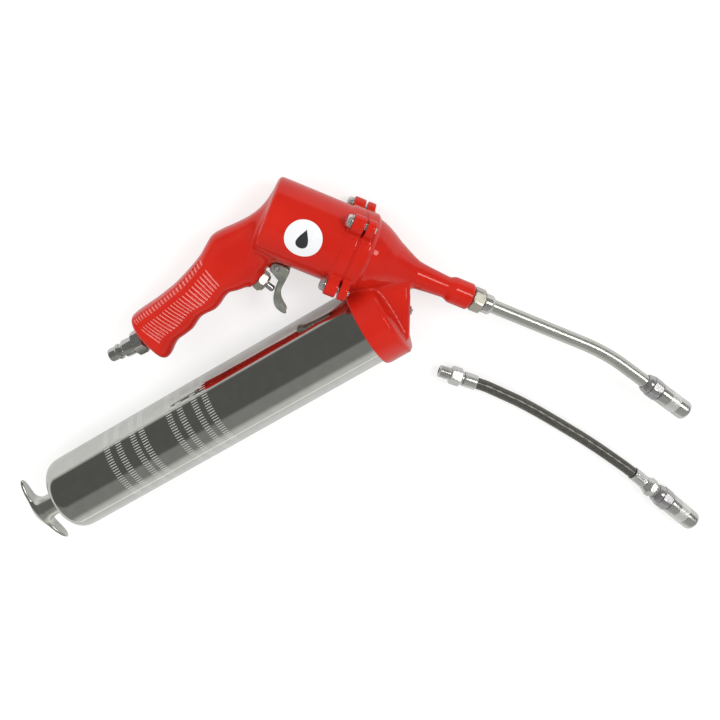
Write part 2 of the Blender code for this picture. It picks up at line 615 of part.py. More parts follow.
def pull_handle(barrel):
    """Winged cast handle on the rod: a round hub that opens into a bowed bar with round ends."""
    half_span, bow, thick, rows = 29.0, 4.0, 3.2, 8
    bm = bmesh.new()
    rings = []
    for row in range(rows + 1):
        across = -1 + 2 * row / rows
        reach = half_span * math.sin(across * math.pi / 2)
        share = abs(reach) / half_span
        half_width = 3.6 + 2.0 * math.sqrt(max(1 - share ** 2.4, 0.0))
        depth = thick * (1.0 if share < 0.99 else 0.6) / 2
        middle = -24.0 + bow * share ** 2
        ring = []
        for k in range(12):
            angle = 2 * math.pi * k / 12
            c, s = math.cos(angle), math.sin(angle)
            bulge = (abs(c) ** 3.5 + abs(s) ** 3.5) ** (-1 / 3.5)
            curl = 0.6 * (c * bulge) ** 2
            ring.append(bm.verts.new(Vector((half_width * c * bulge, reach,
                                             middle + depth * s * bulge + curl)) * MM))
        rings.append(ring)
    for first, second in zip(rings, rings[1:]):
        for k in range(12):
            after = (k + 1) % 12
            bm.faces.new([first[k], first[after], second[after], second[k]])
    bm.faces.new(rings[0])
    bm.faces.new(rings[-1])
    bmesh.ops.triangulate(bm, faces=bm.faces)
    handle = add_object("pull_handle", bm, barrel, CHROME)
    hub = [(0, -24.5), (6.6, -24.1), (8.8, -22.2), (9.1, -18.0), (8.6, -12.0), (8.2, -2.6), (7.4, -1.9),
           (0, -1.9)]
    boolean(handle, turned("handle_hub", hub, barrel, segments=14), "UNION")
    boolean(handle, drill("handle_bore", barrel, ROD_R + GAP, -19.8, 0.0, segments=16), "DIFFERENCE")


# ---------------------------------------------------------------- trigger, valve, inlet, vent

def trigger(pivot):
    outline = [(-34.3, -29.9), (-33.7, -33.0), (-34.0, -38.6), (-34.5, -44.0), (-33.9, -48.8),
               (-32.2, -52.8), (-29.4, -55.7), (-25.6, -58.4), (-24.3, -60.4), (-25.0, -62.2),
               (-27.6, -62.4), (-32.4, -60.8), (-35.4, -57.9), (-37.6, -53.2), (-38.4, -48.9),
               (-38.5, -44.6), (-38.5, -40.6), (-44.0, -37.3), (-47.4, -35.4), (-47.6, -31.6),
               (-46.2, -29.4), (-43.2, -28.7), (-38.0, -28.9)]
    local = [(x - PIVOT.x, y - PIVOT.y) for x, y in outline]
    half = TRIGGER_W / 2
    bm = bmesh.new()
    base = bm.faces.new([bm.verts.new(Vector((y, -x, -half)) * MM) for x, y in local])
    grown = bmesh.ops.extrude_face_region(bm, geom=[base])
    moved = [item for item in grown["geom"] if isinstance(item, bmesh.types.BMVert)]
    bmesh.ops.translate(bm, verts=moved, vec=(0.0, 0.0, TRIGGER_W * MM))
    lever = add_object("trigger", bm, pivot, DARK)
    slot_half = LUG_W / 2 + GAP
    slot = [(12.0, -12.0), (12.0, 12.0), (-6.6, 12.0), (-6.6, -12.0)]
    boolean(lever, prism("trigger_slot", slot, -slot_half, slot_half, pivot), "DIFFERENCE")
    boolean(lever, drill("trigger_eye", pivot, PIN_R + GAP, -10, 10, segments=12), "DIFFERENCE")
    pin = [(0, -6.6), (PIN_R - 0.3, -6.6), (PIN_R, -6.2), (PIN_R, 6.2), (PIN_R - 0.3, 6.6), (0, 6.6)]
    turned("trigger_pin", pin, pivot, STEEL, segments=12)


def valve_parts(valve):
    bore = STEM_R + GAP
    body = [(bore, 7.8), (6.0, 7.8), (6.4, 7.2), (6.4, 6.4), (6.9, 6.2, HEX), (6.9, 0.9, HEX),
            (6.7, GAP), (5.75, GAP), (5.75, -14.0), (4.6, -14.0), (4.6, -9.0), (bore, -9.0)]
    turned("valve_body", body, valve, BRASS)
    ring = [(2.8, -10.0), (3.1, -10.6), (4.0, -10.6), (4.3, -10.0), (4.0, -9.4), (3.1, -9.4)]
    turned("valve_seal", ring, valve, RUBBER, segments=16)
    stem = [(0, -13.6), (3.6, -13.6), (3.9, -13.2), (3.9, -10.9), (STEM_R, -10.9), (STEM_R, STEM_TIP - 1.0),
            (1.7, STEM_TIP - 0.3), (0, STEM_TIP)]
    turned("valve_stem", stem, valve, CHROME, segments=16)
    coil("valve_spring", valve, -25.8, -13.9, 3.0, 3.0, 0.4, 6.0, STEEL)


def inlet_plug(inlet):
    plug = [(2.5, -11.0), (5.2, -11.0), (5.6, -10.4), (5.6, GAP), (8.0, GAP), (8.3, 1.2, HEX),
            (8.3, 7.8, HEX), (7.8, 8.6), (6.5, 8.6), (6.5, 17.4), (4.6, 18.2), (4.6, 19.8), (5.8, 20.4),
            (5.8, 22.6), (5.0, 23.4), (5.0, 28.0), (4.4, 29.3), (2.5, 29.3)]
    turned("air_inlet_plug", plug, inlet, STEEL)


def vent_parts(vent):
    body = [(1.2, -8.3), (2.3, -8.3), (2.3, GAP), (3.3, GAP), (3.3, 1.3), (2.8, 1.8), (1.2, 1.8)]
    turned("vent_body", body, vent, BRASS, segments=16)
    pin = [(0, -7.0), (0.9, -7.0), (0.9, 2.4), (0.6, 2.7), (0, 2.7)]
    turned("vent_pin", pin, vent, STEEL, segments=10)


# ---------------------------------------------------------------- loose hose

def hose_parts(root, start, end):
    fitting = [(2.2, -30.4), (4.1, -30.4), (4.7, -29.7), (4.7, -21.6), (6.0, -21.4), (6.4, -20.6, HEX),
               (6.4, -13.0, HEX), (5.5, -12.4), (5.5, -11.0), (3.0, -11.0), (3.0, -5.0), (2.2, -5.0)]
    turned("hose_male_fitting", fitting, start, STEEL)
    ferrule = [(3.4, -10.6), (5.3, -10.6), (5.75, -9.8), (5.75, -0.8), (5.3, 0.0), (3.4, 0.0)]
    turned("hose_inlet_ferrule", ferrule, start, STEEL)
    path = bpy.data.curves.new("hose", "CURVE")
    path.dimensions = "3D"
    path.bevel_depth = HOSE_R * MM
    path.bevel_resolution = 2
    path.use_fill_caps = True
    points = smooth_points(HOSE_ROUTE, HOSE_POINTS)
    spline = path.splines.new("POLY")
    spline.points.add(len(points) - 1)
    for slot, point in zip(spline.points, points):
        slot.co = (*(point * MM), 1.0)
    hose = bpy.data.objects.new("hose", path)
    path.materials.append(material("hose", RUBBER))
    bpy.context.scene.collection.objects.link(hose)
    hose.parent = root
    crimp = [(3.4, 0.3), (5.0, 0.3), (5.45, 1.0), (5.0, 12.6), (4.8, 13.4), (3.4, 13.4)]
    turned("hose_outlet_ferrule", crimp, end, STEEL)
    knuckle = [(2.2, 13.7), (5.4, 13.7), (6.6, 17.5), (6.7, 17.9, HEX), (6.7, 22.1, HEX), (6.5, 22.5),
               (6.2, 25.9), (4.9, 25.9), (5.0, 35.6), (2.2, 35.6)]
    turned("hose_end_fitting", knuckle, end, STEEL)


# ---------------------------------------------------------------- assembly

def bench(root, loose):
    """Stand the model on z = 0 with the gun's box centred over the origin."""
    bpy.context.view_layer.update()
    graph = bpy.context.evaluated_depsgraph_get()
    corners = []
    for thing in bpy.data.objects:
        if thing.type != "MESH" or thing.hide_render or thing.name in loose:
            continue
        shape = thing.evaluated_get(graph)
        corners += [shape.matrix_world @ vertex.co for vertex in shape.data.vertices]
    low = Vector([min(corner[axis] for corner in corners) for axis in range(3)])
    high = Vector([max(corner[axis] for corner in corners) for axis in range(3)])
    middle = (low + high) / 2
    root.location = (-middle.x, -middle.y, -low.z)


def main():
    clear_scene()
    root = bpy.data.objects.new("grease_gun", None)
    bpy.context.scene.collection.objects.link(root)
    origin = Vector((0.0, 0.0, 0.0))
    frames = {
        "air": frame_empty("air_axis", origin, 0.0, root),
        "barrel": frame_empty("barrel_axis", BARREL_END, BARREL_DEG, root),
        "valve": frame_empty("valve_axis", VALVE_SEAT, VALVE_DEG, root),
        "inlet": frame_empty("inlet_axis", INLET, INLET_DEG, root),
        "vent": frame_empty("vent_axis", VENT, VENT_DEG, root),
        "coupler": frame_empty("coupler_axis", coupler_start(), -BEND_DEG, root),
        "hose_in": frame_empty("hose_inlet_axis", HOSE_IN, HOSE_IN_DEG, root),
        "hose_out": frame_empty("hose_outlet_axis", HOSE_OUT, HOSE_OUT_DEG, root),
        "hose_coupler": frame_empty("hose_coupler_axis", HOSE_OUT + heading(HOSE_OUT_DEG) * HOSE_COUPLER_AT,
                                    HOSE_OUT_DEG, root),
    }
    pivot = bpy.data.objects.new("trigger_pivot", None)
    pivot.matrix_local = Matrix.Translation(PIVOT * MM) @ Matrix.Rotation(math.pi / 2, 4, "Z")
    bpy.context.scene.collection.objects.link(pivot)
    pivot.parent = root
    frames["pivot"] = pivot

    rear_body(root, frames)
    front_head(root, frames)
    flange_parts(frames["air"])
    label(frames["air"])
    air_motor(frames["air"])
    check_valve(frames["air"])
    outlet_parts(root, frames["air"])
    coupler("coupler", frames["coupler"], TUBE_R + GAP)
    reservoir(root, frames["barrel"])
    pull_handle(frames["barrel"])
    trigger(pivot)
    valve_parts(frames["valve"])
    inlet_plug(frames["inlet"])
    vent_parts(frames["vent"])
    hose_parts(root, frames["hose_in"], frames["hose_out"])
    coupler("hose_coupler", frames["hose_coupler"], TUBE_R + GAP, HOSE_COUPLER_SIZE)
    bench(root, {thing.name for thing in bpy.data.objects if thing.name.startswith("hose")})


main()
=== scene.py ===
"""Looks of the air-operated grease gun: smooth castings, turned metal parts, hose, floor, light and camera.

Shapes are written in the part's design frame, in millimetres: X along the air cylinder towards the
outlet, Y across it away from the grip, Z out of the gun's side, z = 0 on its plane of symmetry.
"""
import bmesh
import bpy
import json
import math
import numpy as np
from mathutils import Matrix, Vector

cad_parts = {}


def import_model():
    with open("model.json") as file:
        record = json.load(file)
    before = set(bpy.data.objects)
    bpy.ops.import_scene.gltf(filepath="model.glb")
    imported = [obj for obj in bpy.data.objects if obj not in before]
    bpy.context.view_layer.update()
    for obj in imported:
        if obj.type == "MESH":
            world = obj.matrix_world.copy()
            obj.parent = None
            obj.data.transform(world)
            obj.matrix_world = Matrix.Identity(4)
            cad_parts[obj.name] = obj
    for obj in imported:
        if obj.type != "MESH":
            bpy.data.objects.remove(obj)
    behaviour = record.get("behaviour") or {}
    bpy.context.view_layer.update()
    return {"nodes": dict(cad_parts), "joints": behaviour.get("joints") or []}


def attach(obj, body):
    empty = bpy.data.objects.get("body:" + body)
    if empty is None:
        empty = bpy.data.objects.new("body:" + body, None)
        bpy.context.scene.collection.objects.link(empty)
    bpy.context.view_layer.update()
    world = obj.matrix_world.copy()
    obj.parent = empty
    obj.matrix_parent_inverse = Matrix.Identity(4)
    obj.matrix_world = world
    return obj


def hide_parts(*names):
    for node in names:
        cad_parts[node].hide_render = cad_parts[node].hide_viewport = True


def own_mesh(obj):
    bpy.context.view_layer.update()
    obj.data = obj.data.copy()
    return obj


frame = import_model()

# ---------------------------------------------------------------- design frame

PIVOT = (-43.2, -32.2)
pull = next(joint for joint in frame["joints"] if joint["name"] == "trigger_pull")
SHIFT = np.array([pull["pos_m"][0] - PIVOT[0] / 1000, pull["pos_m"][1] - PIVOT[1] / 1000, pull["pos_m"][2]])

CYL_R, CYL_REAR, CYL_BORE, BORE_REAR = 28.0, -65.2, 25.3, -57.5
FLANGE_R, FLANGE_T, SEAM = 29.4, 9.2, 0.65
LUG_PCD_R, LUG_FRONT = 34.0, 6.7
LUG_SQUARE, LUG_R, LUG_HALF, LUG_INNER = 30.35, 6.3, 6.6, 16.0
BOLT_HOLE_R, PIN_HOLE_R = 2.8, 2.05
NOSE_END, HEX_END = 92.5, 101.5
TUBE_R = 5.0
BEND_X, BEND_R, BEND_DEG, TUBE_TAIL = 182.4, 155.0, 13.7, 20.5
BARREL_END, BARREL_DEG = (-125.9, -269.5, 0.0), 54.4
BARREL_R, BARREL_L = 28.5, 283.1
CAP_RIM, CAP_R, CAP_TOP = 271.8, 32.0, 290.6
HANDLE_HALF = 28.4
VALVE_SEAT, VALVE_DEG = (-53.0, -45.2, 0.0), -16.6
INLET, INLET_DEG = (-110.9, -120.8, 0.0), -130.2
VENT, VENT_DEG = (56.0, -26.1, 0.0), 22.2
HOSE_R, HOSE_Z = 4.5, -23.4
HOSE_IN, HOSE_IN_DEG = (131.5, -67.3, HOSE_Z), 3.2
HOSE_OUT, HOSE_OUT_DEG = (279.5, -89.3, HOSE_Z), -17.4
HOSE_COUPLER_AT, HOSE_COUPLER_SIZE = 26.2, 1.06
HOSE_ROUTE = [
    (131.8, -67.3, -23.4), (139.4, -67.0, -23.6), (147.6, -67.5, -24.2), (157.8, -68.4, -25.2),
    (168.0, -69.3, -26.2), (178.1, -70.6, -26.9), (188.2, -72.0, -27.2), (198.1, -73.5, -27.2),
    (208.2, -75.1, -27.2), (218.2, -76.8, -27.2), (228.2, -78.5, -27.2), (238.2, -80.4, -26.9),
    (248.1, -82.3, -26.2), (257.9, -84.3, -25.2), (267.8, -86.4, -24.2), (275.0, -88.1, -23.6),
    (279.3, -89.25, -23.4),
]


def world(points):
    """Design millimetres to world metres."""
    return np.asarray(points, float) / 1000 + SHIFT


def heading(degrees):
    return np.array([math.cos(math.radians(degrees)), math.sin(math.radians(degrees)), 0.0])


def axes(degrees):
    """Up, side and along of a turned part's own frame."""
    along = heading(degrees)
    up = np.array([0.0, 0.0, 1.0])
    return up, np.cross(along, up), along


def smooth_points(route, count):
    """Evenly stepped points on the Catmull-Rom curve through a route."""
    knots = np.asarray(route, float)
    knots = np.vstack([2 * knots[0] - knots[1], knots, 2 * knots[-1] - knots[-2]])
    place = np.linspace(0, len(knots) - 3, count)
    span = np.minimum(place.astype(int), len(knots) - 4)
    t = (place - span)[:, None]
    a, b, c, d = (knots[span + k] for k in range(4))
    return 0.5 * (2 * b + (c - a) * t + (2 * a - 5 * b + 4 * c - d) * t ** 2 + (3 * b - a - 3 * c + d) * t ** 3)


# ---------------------------------------------------------------- camera

LENS, EYE, AIM, CAMERA_UP = 51.8, (-79.7, 193.1, 697.8), (38.6, -75.4, 0.0), (-0.392, 0.920, 0.0)
scene = bpy.context.scene
camera_data = bpy.data.cameras.new("camera")
camera_data.lens = LENS
camera_data.sensor_width = 36.0
camera_data.clip_start = 0.01
camera = bpy.data.objects.new("camera", camera_data)
scene.collection.objects.link(camera)
eye = Vector(world(EYE))
sight = (Vector(world(AIM)) - eye).normalized()
right = sight.cross(Vector(CAMERA_UP)).normalized()
above = right.cross(sight)
camera.matrix_world = Matrix.Translation(eye) @ Matrix((right, above, -sight)).transposed().to_4x4()
scene.camera = camera


# ---------------------------------------------------------------- meshes

def make_mesh(name, verts, quads, uvs=None, tris=None):
    """An object from design-millimetre vertices and arrays of faces, shaded smooth."""
    mesh = bpy.data.meshes.new(name)
    quads = np.asarray(quads, np.int32).reshape(-1, 4)
    tris = np.asarray(tris if tris is not None else [], np.int32).reshape(-1, 3)
    loops = np.concatenate([quads.ravel(), tris.ravel()])
    starts = np.concatenate([np.arange(len(quads)) * 4, len(quads) * 4 + np.arange(len(tris)) * 3])
    mesh.vertices.add(len(verts))
    mesh.vertices.foreach_set("co", world(verts).astype(np.float32).ravel())
    mesh.loops.add(len(loops))
    mesh.loops.foreach_set("vertex_index", loops.astype(np.int32))
    mesh.polygons.add(len(starts))
    mesh.polygons.foreach_set("loop_start", starts.astype(np.int32))
    if uvs is not None:
        layer = mesh.uv_layers.new(name="turned")
        layer.uv.foreach_set("vector", np.asarray(uvs, np.float32)[loops].ravel())
    mesh.update(calc_edges=True)
    mesh.validate()
    mesh.shade_smooth()
    made = bpy.data.objects.new(name, mesh)
    scene.collection.objects.link(made)
    return made


def finish_piece(made, body, surface, nodes, sharp=None):
    """Material, body and the CAD nodes that a piece stands for."""
    if sharp:
        made.data.set_sharp_from_angle(angle=math.radians(sharp))
    made.data.materials.clear()
    made.data.materials.append(surface)
    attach(made, body)
    if nodes:
        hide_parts(*nodes)
    return made


def rounded(profile, radius, steps=3):
    """A (radius, height) profile with its corners rounded, so edges catch the light."""
    points = [np.array(p[:2], float) for p in profile]
    done = []
    for index, here in enumerate(points):
        before, after = points[index - 1], points[(index + 1) % len(points)]
        run_in, run_out = here - before, after - here
        reach = min(radius, np.linalg.norm(run_in) * 0.4, np.linalg.norm(run_out) * 0.4)
        extra = tuple(profile[index][2:])
        turn = abs(np.cross(run_in, run_out)) / max(np.linalg.norm(run_in) * np.linalg.norm(run_out), 1e-9)
        if reach < 0.02 or turn < 0.12 or here[0] <= 0:
            done.append((*here, *extra))
            continue
        start = here - run_in / np.linalg.norm(run_in) * reach
        end = here + run_out / np.linalg.norm(run_out) * reach
        for step in range(steps + 1):
            t = step / steps
            done.append((*((1 - t) ** 2 * start + 2 * t * (1 - t) * here + t ** 2 * end), *extra))
    return done


def hexagon(half, low, high, corner=1.147):
    """Profile entries of a hexagon with turned-down corners, half its width across flats."""
    lift = half * 0.155 * 0.62 * (corner - 1) / 0.147
    entries = [(half, low + lift * t, half * (1 + (corner - 1) * t)) for t in (0.0, 0.25, 0.5, 0.75, 1.0)]
    return entries + [(half, high - lift * t, half * (1 + (corner - 1) * t)) for t in (1.0, 0.75, 0.5, 0.25, 0.0)]


def lathe(name, profile, origin, degrees, segments=96):
    """Revolve (radius, height) entries about an axis. A third number makes a hexagon and caps its corners."""
    angle = full_turn(segments)
    rows, uv = [], []
    sixth = math.pi / 3
    for entry in profile:
        radius = np.full(segments + 1, float(entry[0]))
        if len(entry) > 2:
            radius = np.minimum(entry[0] / np.cos(angle % sixth - sixth / 2), entry[2])
        rows.append(np.stack([radius * np.cos(angle), radius * np.sin(angle), np.full(segments + 1, entry[1])], 1))
        uv.append(np.stack([angle / (2 * math.pi), np.full(segments + 1, entry[1] / 100 + entry[0] / 100)], 1))
    return skin(name, rows, uv, profile[0][0] > 0, origin, degrees)


def full_turn(segments):
    """Angles all the way round, the first and last the same."""
    return np.arange(segments + 1) * 2 * math.pi / segments


def strips(pairs, wide):
    """Quads between pairs of rows of points, each row that many points wide."""
    ring = np.arange(wide - 1)
    return [np.stack([low * wide + ring, high * wide + ring, high * wide + ring + 1, low * wide + ring + 1], 1)
            for low, high in pairs]


def placed(local, origin, degrees):
    """Points given in a turned part's own frame, as design points."""
    up, side, along = axes(degrees)
    return np.asarray(origin, float) + local[..., :1] * up + local[..., 1:2] * side + local[..., 2:] * along


def skin(name, rows, uv, closed, origin, degrees):
    """Close rings of a turned part into a mesh, with one more column for the seam of its UV map."""
    verts = placed(np.concatenate(rows), origin, degrees)
    pairs = [(k, k + 1) for k in range(len(rows) - 1)]
    if closed:
        pairs.append((len(rows) - 1, 0))
    quads = strips(pairs, len(rows[0]))
    return weld(make_mesh(name, verts, np.concatenate(quads), np.concatenate(uv)))


def capped(name, rings):
    """A mesh through closed rings of points, its first and last ring filled from their middles."""
    rings = np.asarray(rings)
    long, count = rings.shape[:2]
    k = np.arange(count)
    after = (k + 1) % count
    quads = [np.stack([row * count + k, row * count + after, (row + 1) * count + after, (row + 1) * count + k], 1)
             for row in range(long - 1)]
    hub = long * count
    last = hub - count
    tris = [np.stack([np.full(count, hub), after, k], 1),
            np.stack([np.full(count, hub + 1), last + k, last + after], 1)]
    verts = np.concatenate([rings.reshape(-1, 3), rings[[0, -1]].mean(1)])
    return weld(make_mesh(name, verts, np.concatenate(quads), None, np.concatenate(tris)))


def design_points(made):
    """A piece's vertices in design millimetres."""
    places = np.empty(len(made.data.vertices) * 3, np.float32)
    made.data.vertices.foreach_get("co", places)
    return (places.reshape(-1, 3) - SHIFT) * 1000


def mark_crests(made, share):
    """How near each vertex lies to a crest, which the piece's material reads: on the grip's ribs it lightens the paint
    as a painted highlight, on the barrel's knurl it makes the metal matt.
    """
    crest = made.data.attributes.new("crest", "FLOAT", "POINT")
    crest.data.foreach_set("value", share.astype(np.float32))


def weld(made):
    """Merge the doubled seam and the points on the axis, then turn all faces outward."""
    bm = bmesh.new()
    bm.from_mesh(made.data)
    bmesh.ops.remove_doubles(bm, verts=bm.verts, dist=2e-6)
    bmesh.ops.dissolve_degenerate(bm, edges=bm.edges, dist=1e-7)
    bmesh.ops.recalc_face_normals(bm, faces=bm.faces)
    bm.to_mesh(made.data)
    bm.free()
    return made


def sweep(name, points, radius_at, sides=48, bore=0.0):
    """A round tube along points; radius_at gives the radius for each point and angle."""
    points = np.asarray(points, float)
    ahead = np.gradient(points, axis=0)
    ahead /= np.linalg.norm(ahead, axis=1)[:, None]
    across = np.cross(ahead, [0.0, 0.0, 1.0])
    across /= np.linalg.norm(across, axis=1)[:, None]
    upward = np.cross(across, ahead)
    step = np.linalg.norm(np.diff(points, axis=0), axis=1)
    run = np.concatenate([[0.0], np.cumsum(step)])
    angle = full_turn(sides)
    outer = radius_at(run[:, None], angle[None, :]) * np.ones((len(points), sides + 1))
    layers = [outer] + ([np.full_like(outer, bore)] if bore else [])
    verts, uvs = [], []
    for radii in layers:
        verts.append((points[:, None, :] + radii[..., None] * (
            across[:, None, :] * np.cos(angle)[None, :, None] + upward[:, None, :] * np.sin(angle)[None, :, None])
        ).reshape(-1, 3))
        uvs.append(np.stack(np.broadcast_arrays(angle[None, :] / (2 * math.pi), run[:, None] / 100), -1).reshape(-1, 2))
    wide, long = sides + 1, len(points)
    ring, tris = np.arange(sides), None
    quads = strips([(row, row + 1) for row in range(long - 1)], wide)
    if bore:
        inner = long * wide
        quads += [q[:, ::-1] + inner for q in list(quads)]
        for row in (0, long - 1):
            quads.append(np.stack([row * wide + ring, row * wide + ring + 1, inner + row * wide + ring + 1,
                                   inner + row * wide + ring], 1))
    else:
        verts.append(points[[0, -1]])
        uvs.append(np.array([[0.5, 0.0], [0.5, run[-1] / 100]]))
        hub = long * wide
        tris = np.concatenate([
            np.stack([np.full(sides, hub), ring, ring + 1], 1),
            np.stack([np.full(sides, hub + 1), (long - 1) * wide + ring + 1, (long - 1) * wide + ring], 1)])
    return weld(make_mesh(name, np.concatenate(verts), np.concatenate(quads), np.concatenate(uvs), tris))


# ---------------------------------------------------------------- signed distance fields

def poly_distance(px, py, outline):
    """Signed distance to a closed outline, negative inside."""
    outline = np.asarray(outline, float)
    best = np.full(px.shape, 1e9)
    inside = np.zeros(px.shape, bool)
    for (ax, ay), (bx, by) in zip(outline, np.roll(outline, -1, axis=0)):
        ex, ey = bx - ax, by - ay
        wx, wy = px - ax, py - ay
        t = np.clip((wx * ex + wy * ey) / (ex * ex + ey * ey), 0, 1)
        best = np.minimum(best, (wx - t * ex) ** 2 + (wy - t * ey) ** 2)
        if abs(ey) > 1e-12:
            inside ^= ((ay > py) != (by > py)) & (px < ax + (py - ay) * (ex / ey))
    away = np.sqrt(best)
    return np.where(inside, -away, away)


def join(a, b, blend):
    """Union of two fields with a fillet."""
    h = np.maximum(blend - np.abs(a - b), 0.0) / blend
    return np.minimum(a, b) - h * h * blend / 4


def both(a, b, blend=0.8):
    """Intersection with rounded edges."""
    return -join(-a, -b, blend)


def cut(a, b, blend=0.5):
    return both(a, -b, blend)


def along_axis(p, origin, degrees):
    """Height along a turned part's axis, and distance from it."""
    _, side, along = axes(degrees)
    rel = p - np.asarray(origin, float)
    height = rel @ along
    sideways = rel @ side
    return height, np.hypot(sideways, rel[:, 2]), sideways


def turned_field(p, origin, degrees, profile):
    height, radius, _ = along_axis(p, origin, degrees)
    return poly_distance(height, radius, [(z, r) for r, z in profile])


def solid_profile(points):
    """A solid's (radius, height) profile, closed well below its axis."""
    return [(-12.0, points[0][1])] + list(points) + [(-12.0, points[-1][1])]


def slab(p, outline, half, edge=0.8):
    return both(poly_distance(p[:, 0], p[:, 1], outline), np.abs(p[:, 2]) - half, edge)


def cylinder(p, origin, degrees, radius, low, high):
    height, away, _ = along_axis(p, origin, degrees)
    return np.maximum(away - radius, np.maximum(low - height, height - high))


def bolt_away(p):
    """Distance from the nearest flange screw's axis."""
    spot = LUG_PCD_R / math.sqrt(2)
    return np.hypot(np.abs(p[:, 1]) - spot, np.abs(p[:, 2]) - spot)


def pin_away(p):
    """Distance from the trigger pin's axis."""
    return np.hypot(p[:, 0] - PIVOT[0], p[:, 1] - PIVOT[1])


def lug_field(p, low, high, edge=1.0):
    """Four corner blocks of the flange, rounded at the corners of a square."""
    ya, za = np.abs(p[:, 1]), np.abs(p[:, 2])
    qy, qz = ya - LUG_SQUARE + LUG_R, za - LUG_SQUARE + LUG_R
    square = np.hypot(np.maximum(qy, 0), np.maximum(qz, 0)) + np.minimum(np.maximum(qy, qz), 0) - LUG_R
    band = np.abs(za - ya) / math.sqrt(2) - LUG_HALF
    core = LUG_INNER - np.hypot(ya, za)
    across = both(both(square, band, 2.2), core, 0.5)
    middle, half = (low + high) / 2, (high - low) / 2
    return both(across, np.abs(p[:, 0] - middle) - half, edge)


def surface(name, field, low, high, step):
    """Mesh the zero surface of a field with surface nets, then pull each vertex onto it."""
    block = 4
    low = np.asarray(low, float) - 2 * step
    count = (np.ceil((np.asarray(high, float) + 2 * step - low) / (block * step)).astype(int)) * block
    coarse_axes = [low[k] + (np.arange(count[k] // block) * block + block / 2 - 0.5) * step for k in range(3)]
    centres = np.stack(np.meshgrid(*coarse_axes, indexing="ij"), -1).reshape(-1, 3)
    rough = evaluate(field, centres).reshape([n // block for n in count])
    near = np.abs(rough) < block * step * 1.9
    values = np.where(rough < 0, -50.0, 50.0).astype(np.float32)
    for axis in range(3):
        values = np.repeat(values, block, axis=axis)
        near = np.repeat(near, block, axis=axis)
    spots = np.argwhere(near)
    values[near] = evaluate(field, low + spots * step)
    inside = values < 0
    shape = np.array(values.shape) - 1
    total = np.zeros(shape, np.int8)
    for corner in np.ndindex(2, 2, 2):
        total += inside[tuple(slice(c, c + s) for c, s in zip(corner, shape))]
    mixed = (total > 0) & (total < 8)
    index = np.full(shape, -1, np.int64)
    cells = np.argwhere(mixed)
    index[mixed] = np.arange(len(cells))
    verts = low + (cells + 0.5) * step
    quads = []
    for axis in range(3):
        first = np.take(inside, np.arange(inside.shape[axis] - 1), axis)
        second = np.take(inside, np.arange(1, inside.shape[axis]), axis)
        edges = np.argwhere(first != second)
        b, c = (axis + 1) % 3, (axis + 2) % 3
        keep = (edges[:, b] > 0) & (edges[:, c] > 0) & (edges[:, b] < shape[b]) & (edges[:, c] < shape[c])
        edges = edges[keep]
        outward = first[tuple(edges.T)]
        corners = []
        for db, dc in ((-1, -1), (0, -1), (0, 0), (-1, 0)):
            at = edges.copy()
            at[:, b] += db
            at[:, c] += dc
            corners.append(index[tuple(at.T)])
        ring = np.stack(corners, 1)
        ring[~outward] = ring[~outward][:, ::-1]
        quads.append(ring)
    quads = np.concatenate(quads)
    for round_number in range(3):
        verts = onto(field, verts, step, 2)
        if round_number < 2:
            verts = relax(verts, quads, 0.5)
    return make_mesh(name, onto(field, verts, step, 3), quads)


def evaluate(field, points, chunk=300000):
    return np.concatenate([field(points[k:k + chunk]) for k in range(0, len(points), chunk)])


def slope(field, points, reach=0.04):
    gradient = np.empty_like(points)
    for axis in range(3):
        offset = np.zeros(3)
        offset[axis] = reach
        gradient[:, axis] = (evaluate(field, points + offset) - evaluate(field, points - offset)) / (2 * reach)
    return gradient


def onto(field, verts, step, rounds):
    """Newton steps along the field's slope, each kept short."""
    for _ in range(rounds):
        value = evaluate(field, verts)
        gradient = slope(field, verts)
        size = np.maximum((gradient ** 2).sum(1), 0.15)
        move = -(value / size)[:, None] * gradient
        length = np.linalg.norm(move, axis=1)
        verts = verts + move * np.minimum(1.0, 0.7 * step / np.maximum(length, 1e-9))[:, None]
    return verts


def relax(verts, quads, share):
    """Move each vertex part of the way to the middle of its neighbours."""
    total = np.zeros_like(verts)
    number = np.zeros(len(verts))
    for k in range(4):
        a, b = quads[:, k], quads[:, (k + 1) % 4]
        for axis in range(3):
            total[:, axis] += np.bincount(a, verts[b, axis], len(verts)) + np.bincount(b, verts[a, axis], len(verts))
        number += np.bincount(a, minlength=len(verts)) + np.bincount(b, minlength=len(verts))
    return verts * (1 - share) + total / number[:, None] * share


# ---------------------------------------------------------------- rear casting

# Grip: back edge, front edge with its finger scallops, and half the width, from the cylinder down
GRIP = [
    ((-63.6, 12.0), (-36.0, -4.0), 10.0),
    ((-68.2, 3.4), (-41.0, -14.0), 11.8),
    ((-74.4, -6.9), (-46.0, -25.0), 12.8),
    ((-81.8, -15.7), (-49.6, -35.5), 13.5),
    ((-88.3, -22.7), (-52.8, -44.5), 14.0),
    ((-92.9, -29.0), (-56.6, -52.4), 14.2),
    ((-94.4, -36.0), (-61.6, -57.8), 14.4),
    ((-95.6, -45.0), (-66.6, -61.6), 14.6),
    ((-97.6, -52.5), (-68.8, -66.6), 14.7),
    ((-99.9, -59.5), (-69.8, -72.0), 14.7),
    ((-102.6, -66.8), (-72.0, -77.6), 14.7),
    ((-105.6, -74.0), (-76.2, -82.4), 14.6),
    ((-108.6, -79.6), (-79.0, -86.6), 14.6),
    ((-111.7, -85.3), (-80.4, -91.6), 14.6),
    ((-114.9, -90.6), (-81.6, -97.4), 14.7),
    ((-118.3, -95.8), (-84.8, -103.6), 14.8),
    ((-121.2, -100.4), (-88.0, -109.0), 14.9),
    ((-123.6, -104.6), (-89.2, -114.6), 15.0),
    ((-124.9, -108.4), (-89.6, -121.4), 14.8),
    ((-122.6, -113.4), (-91.6, -128.4), 14.2),
]
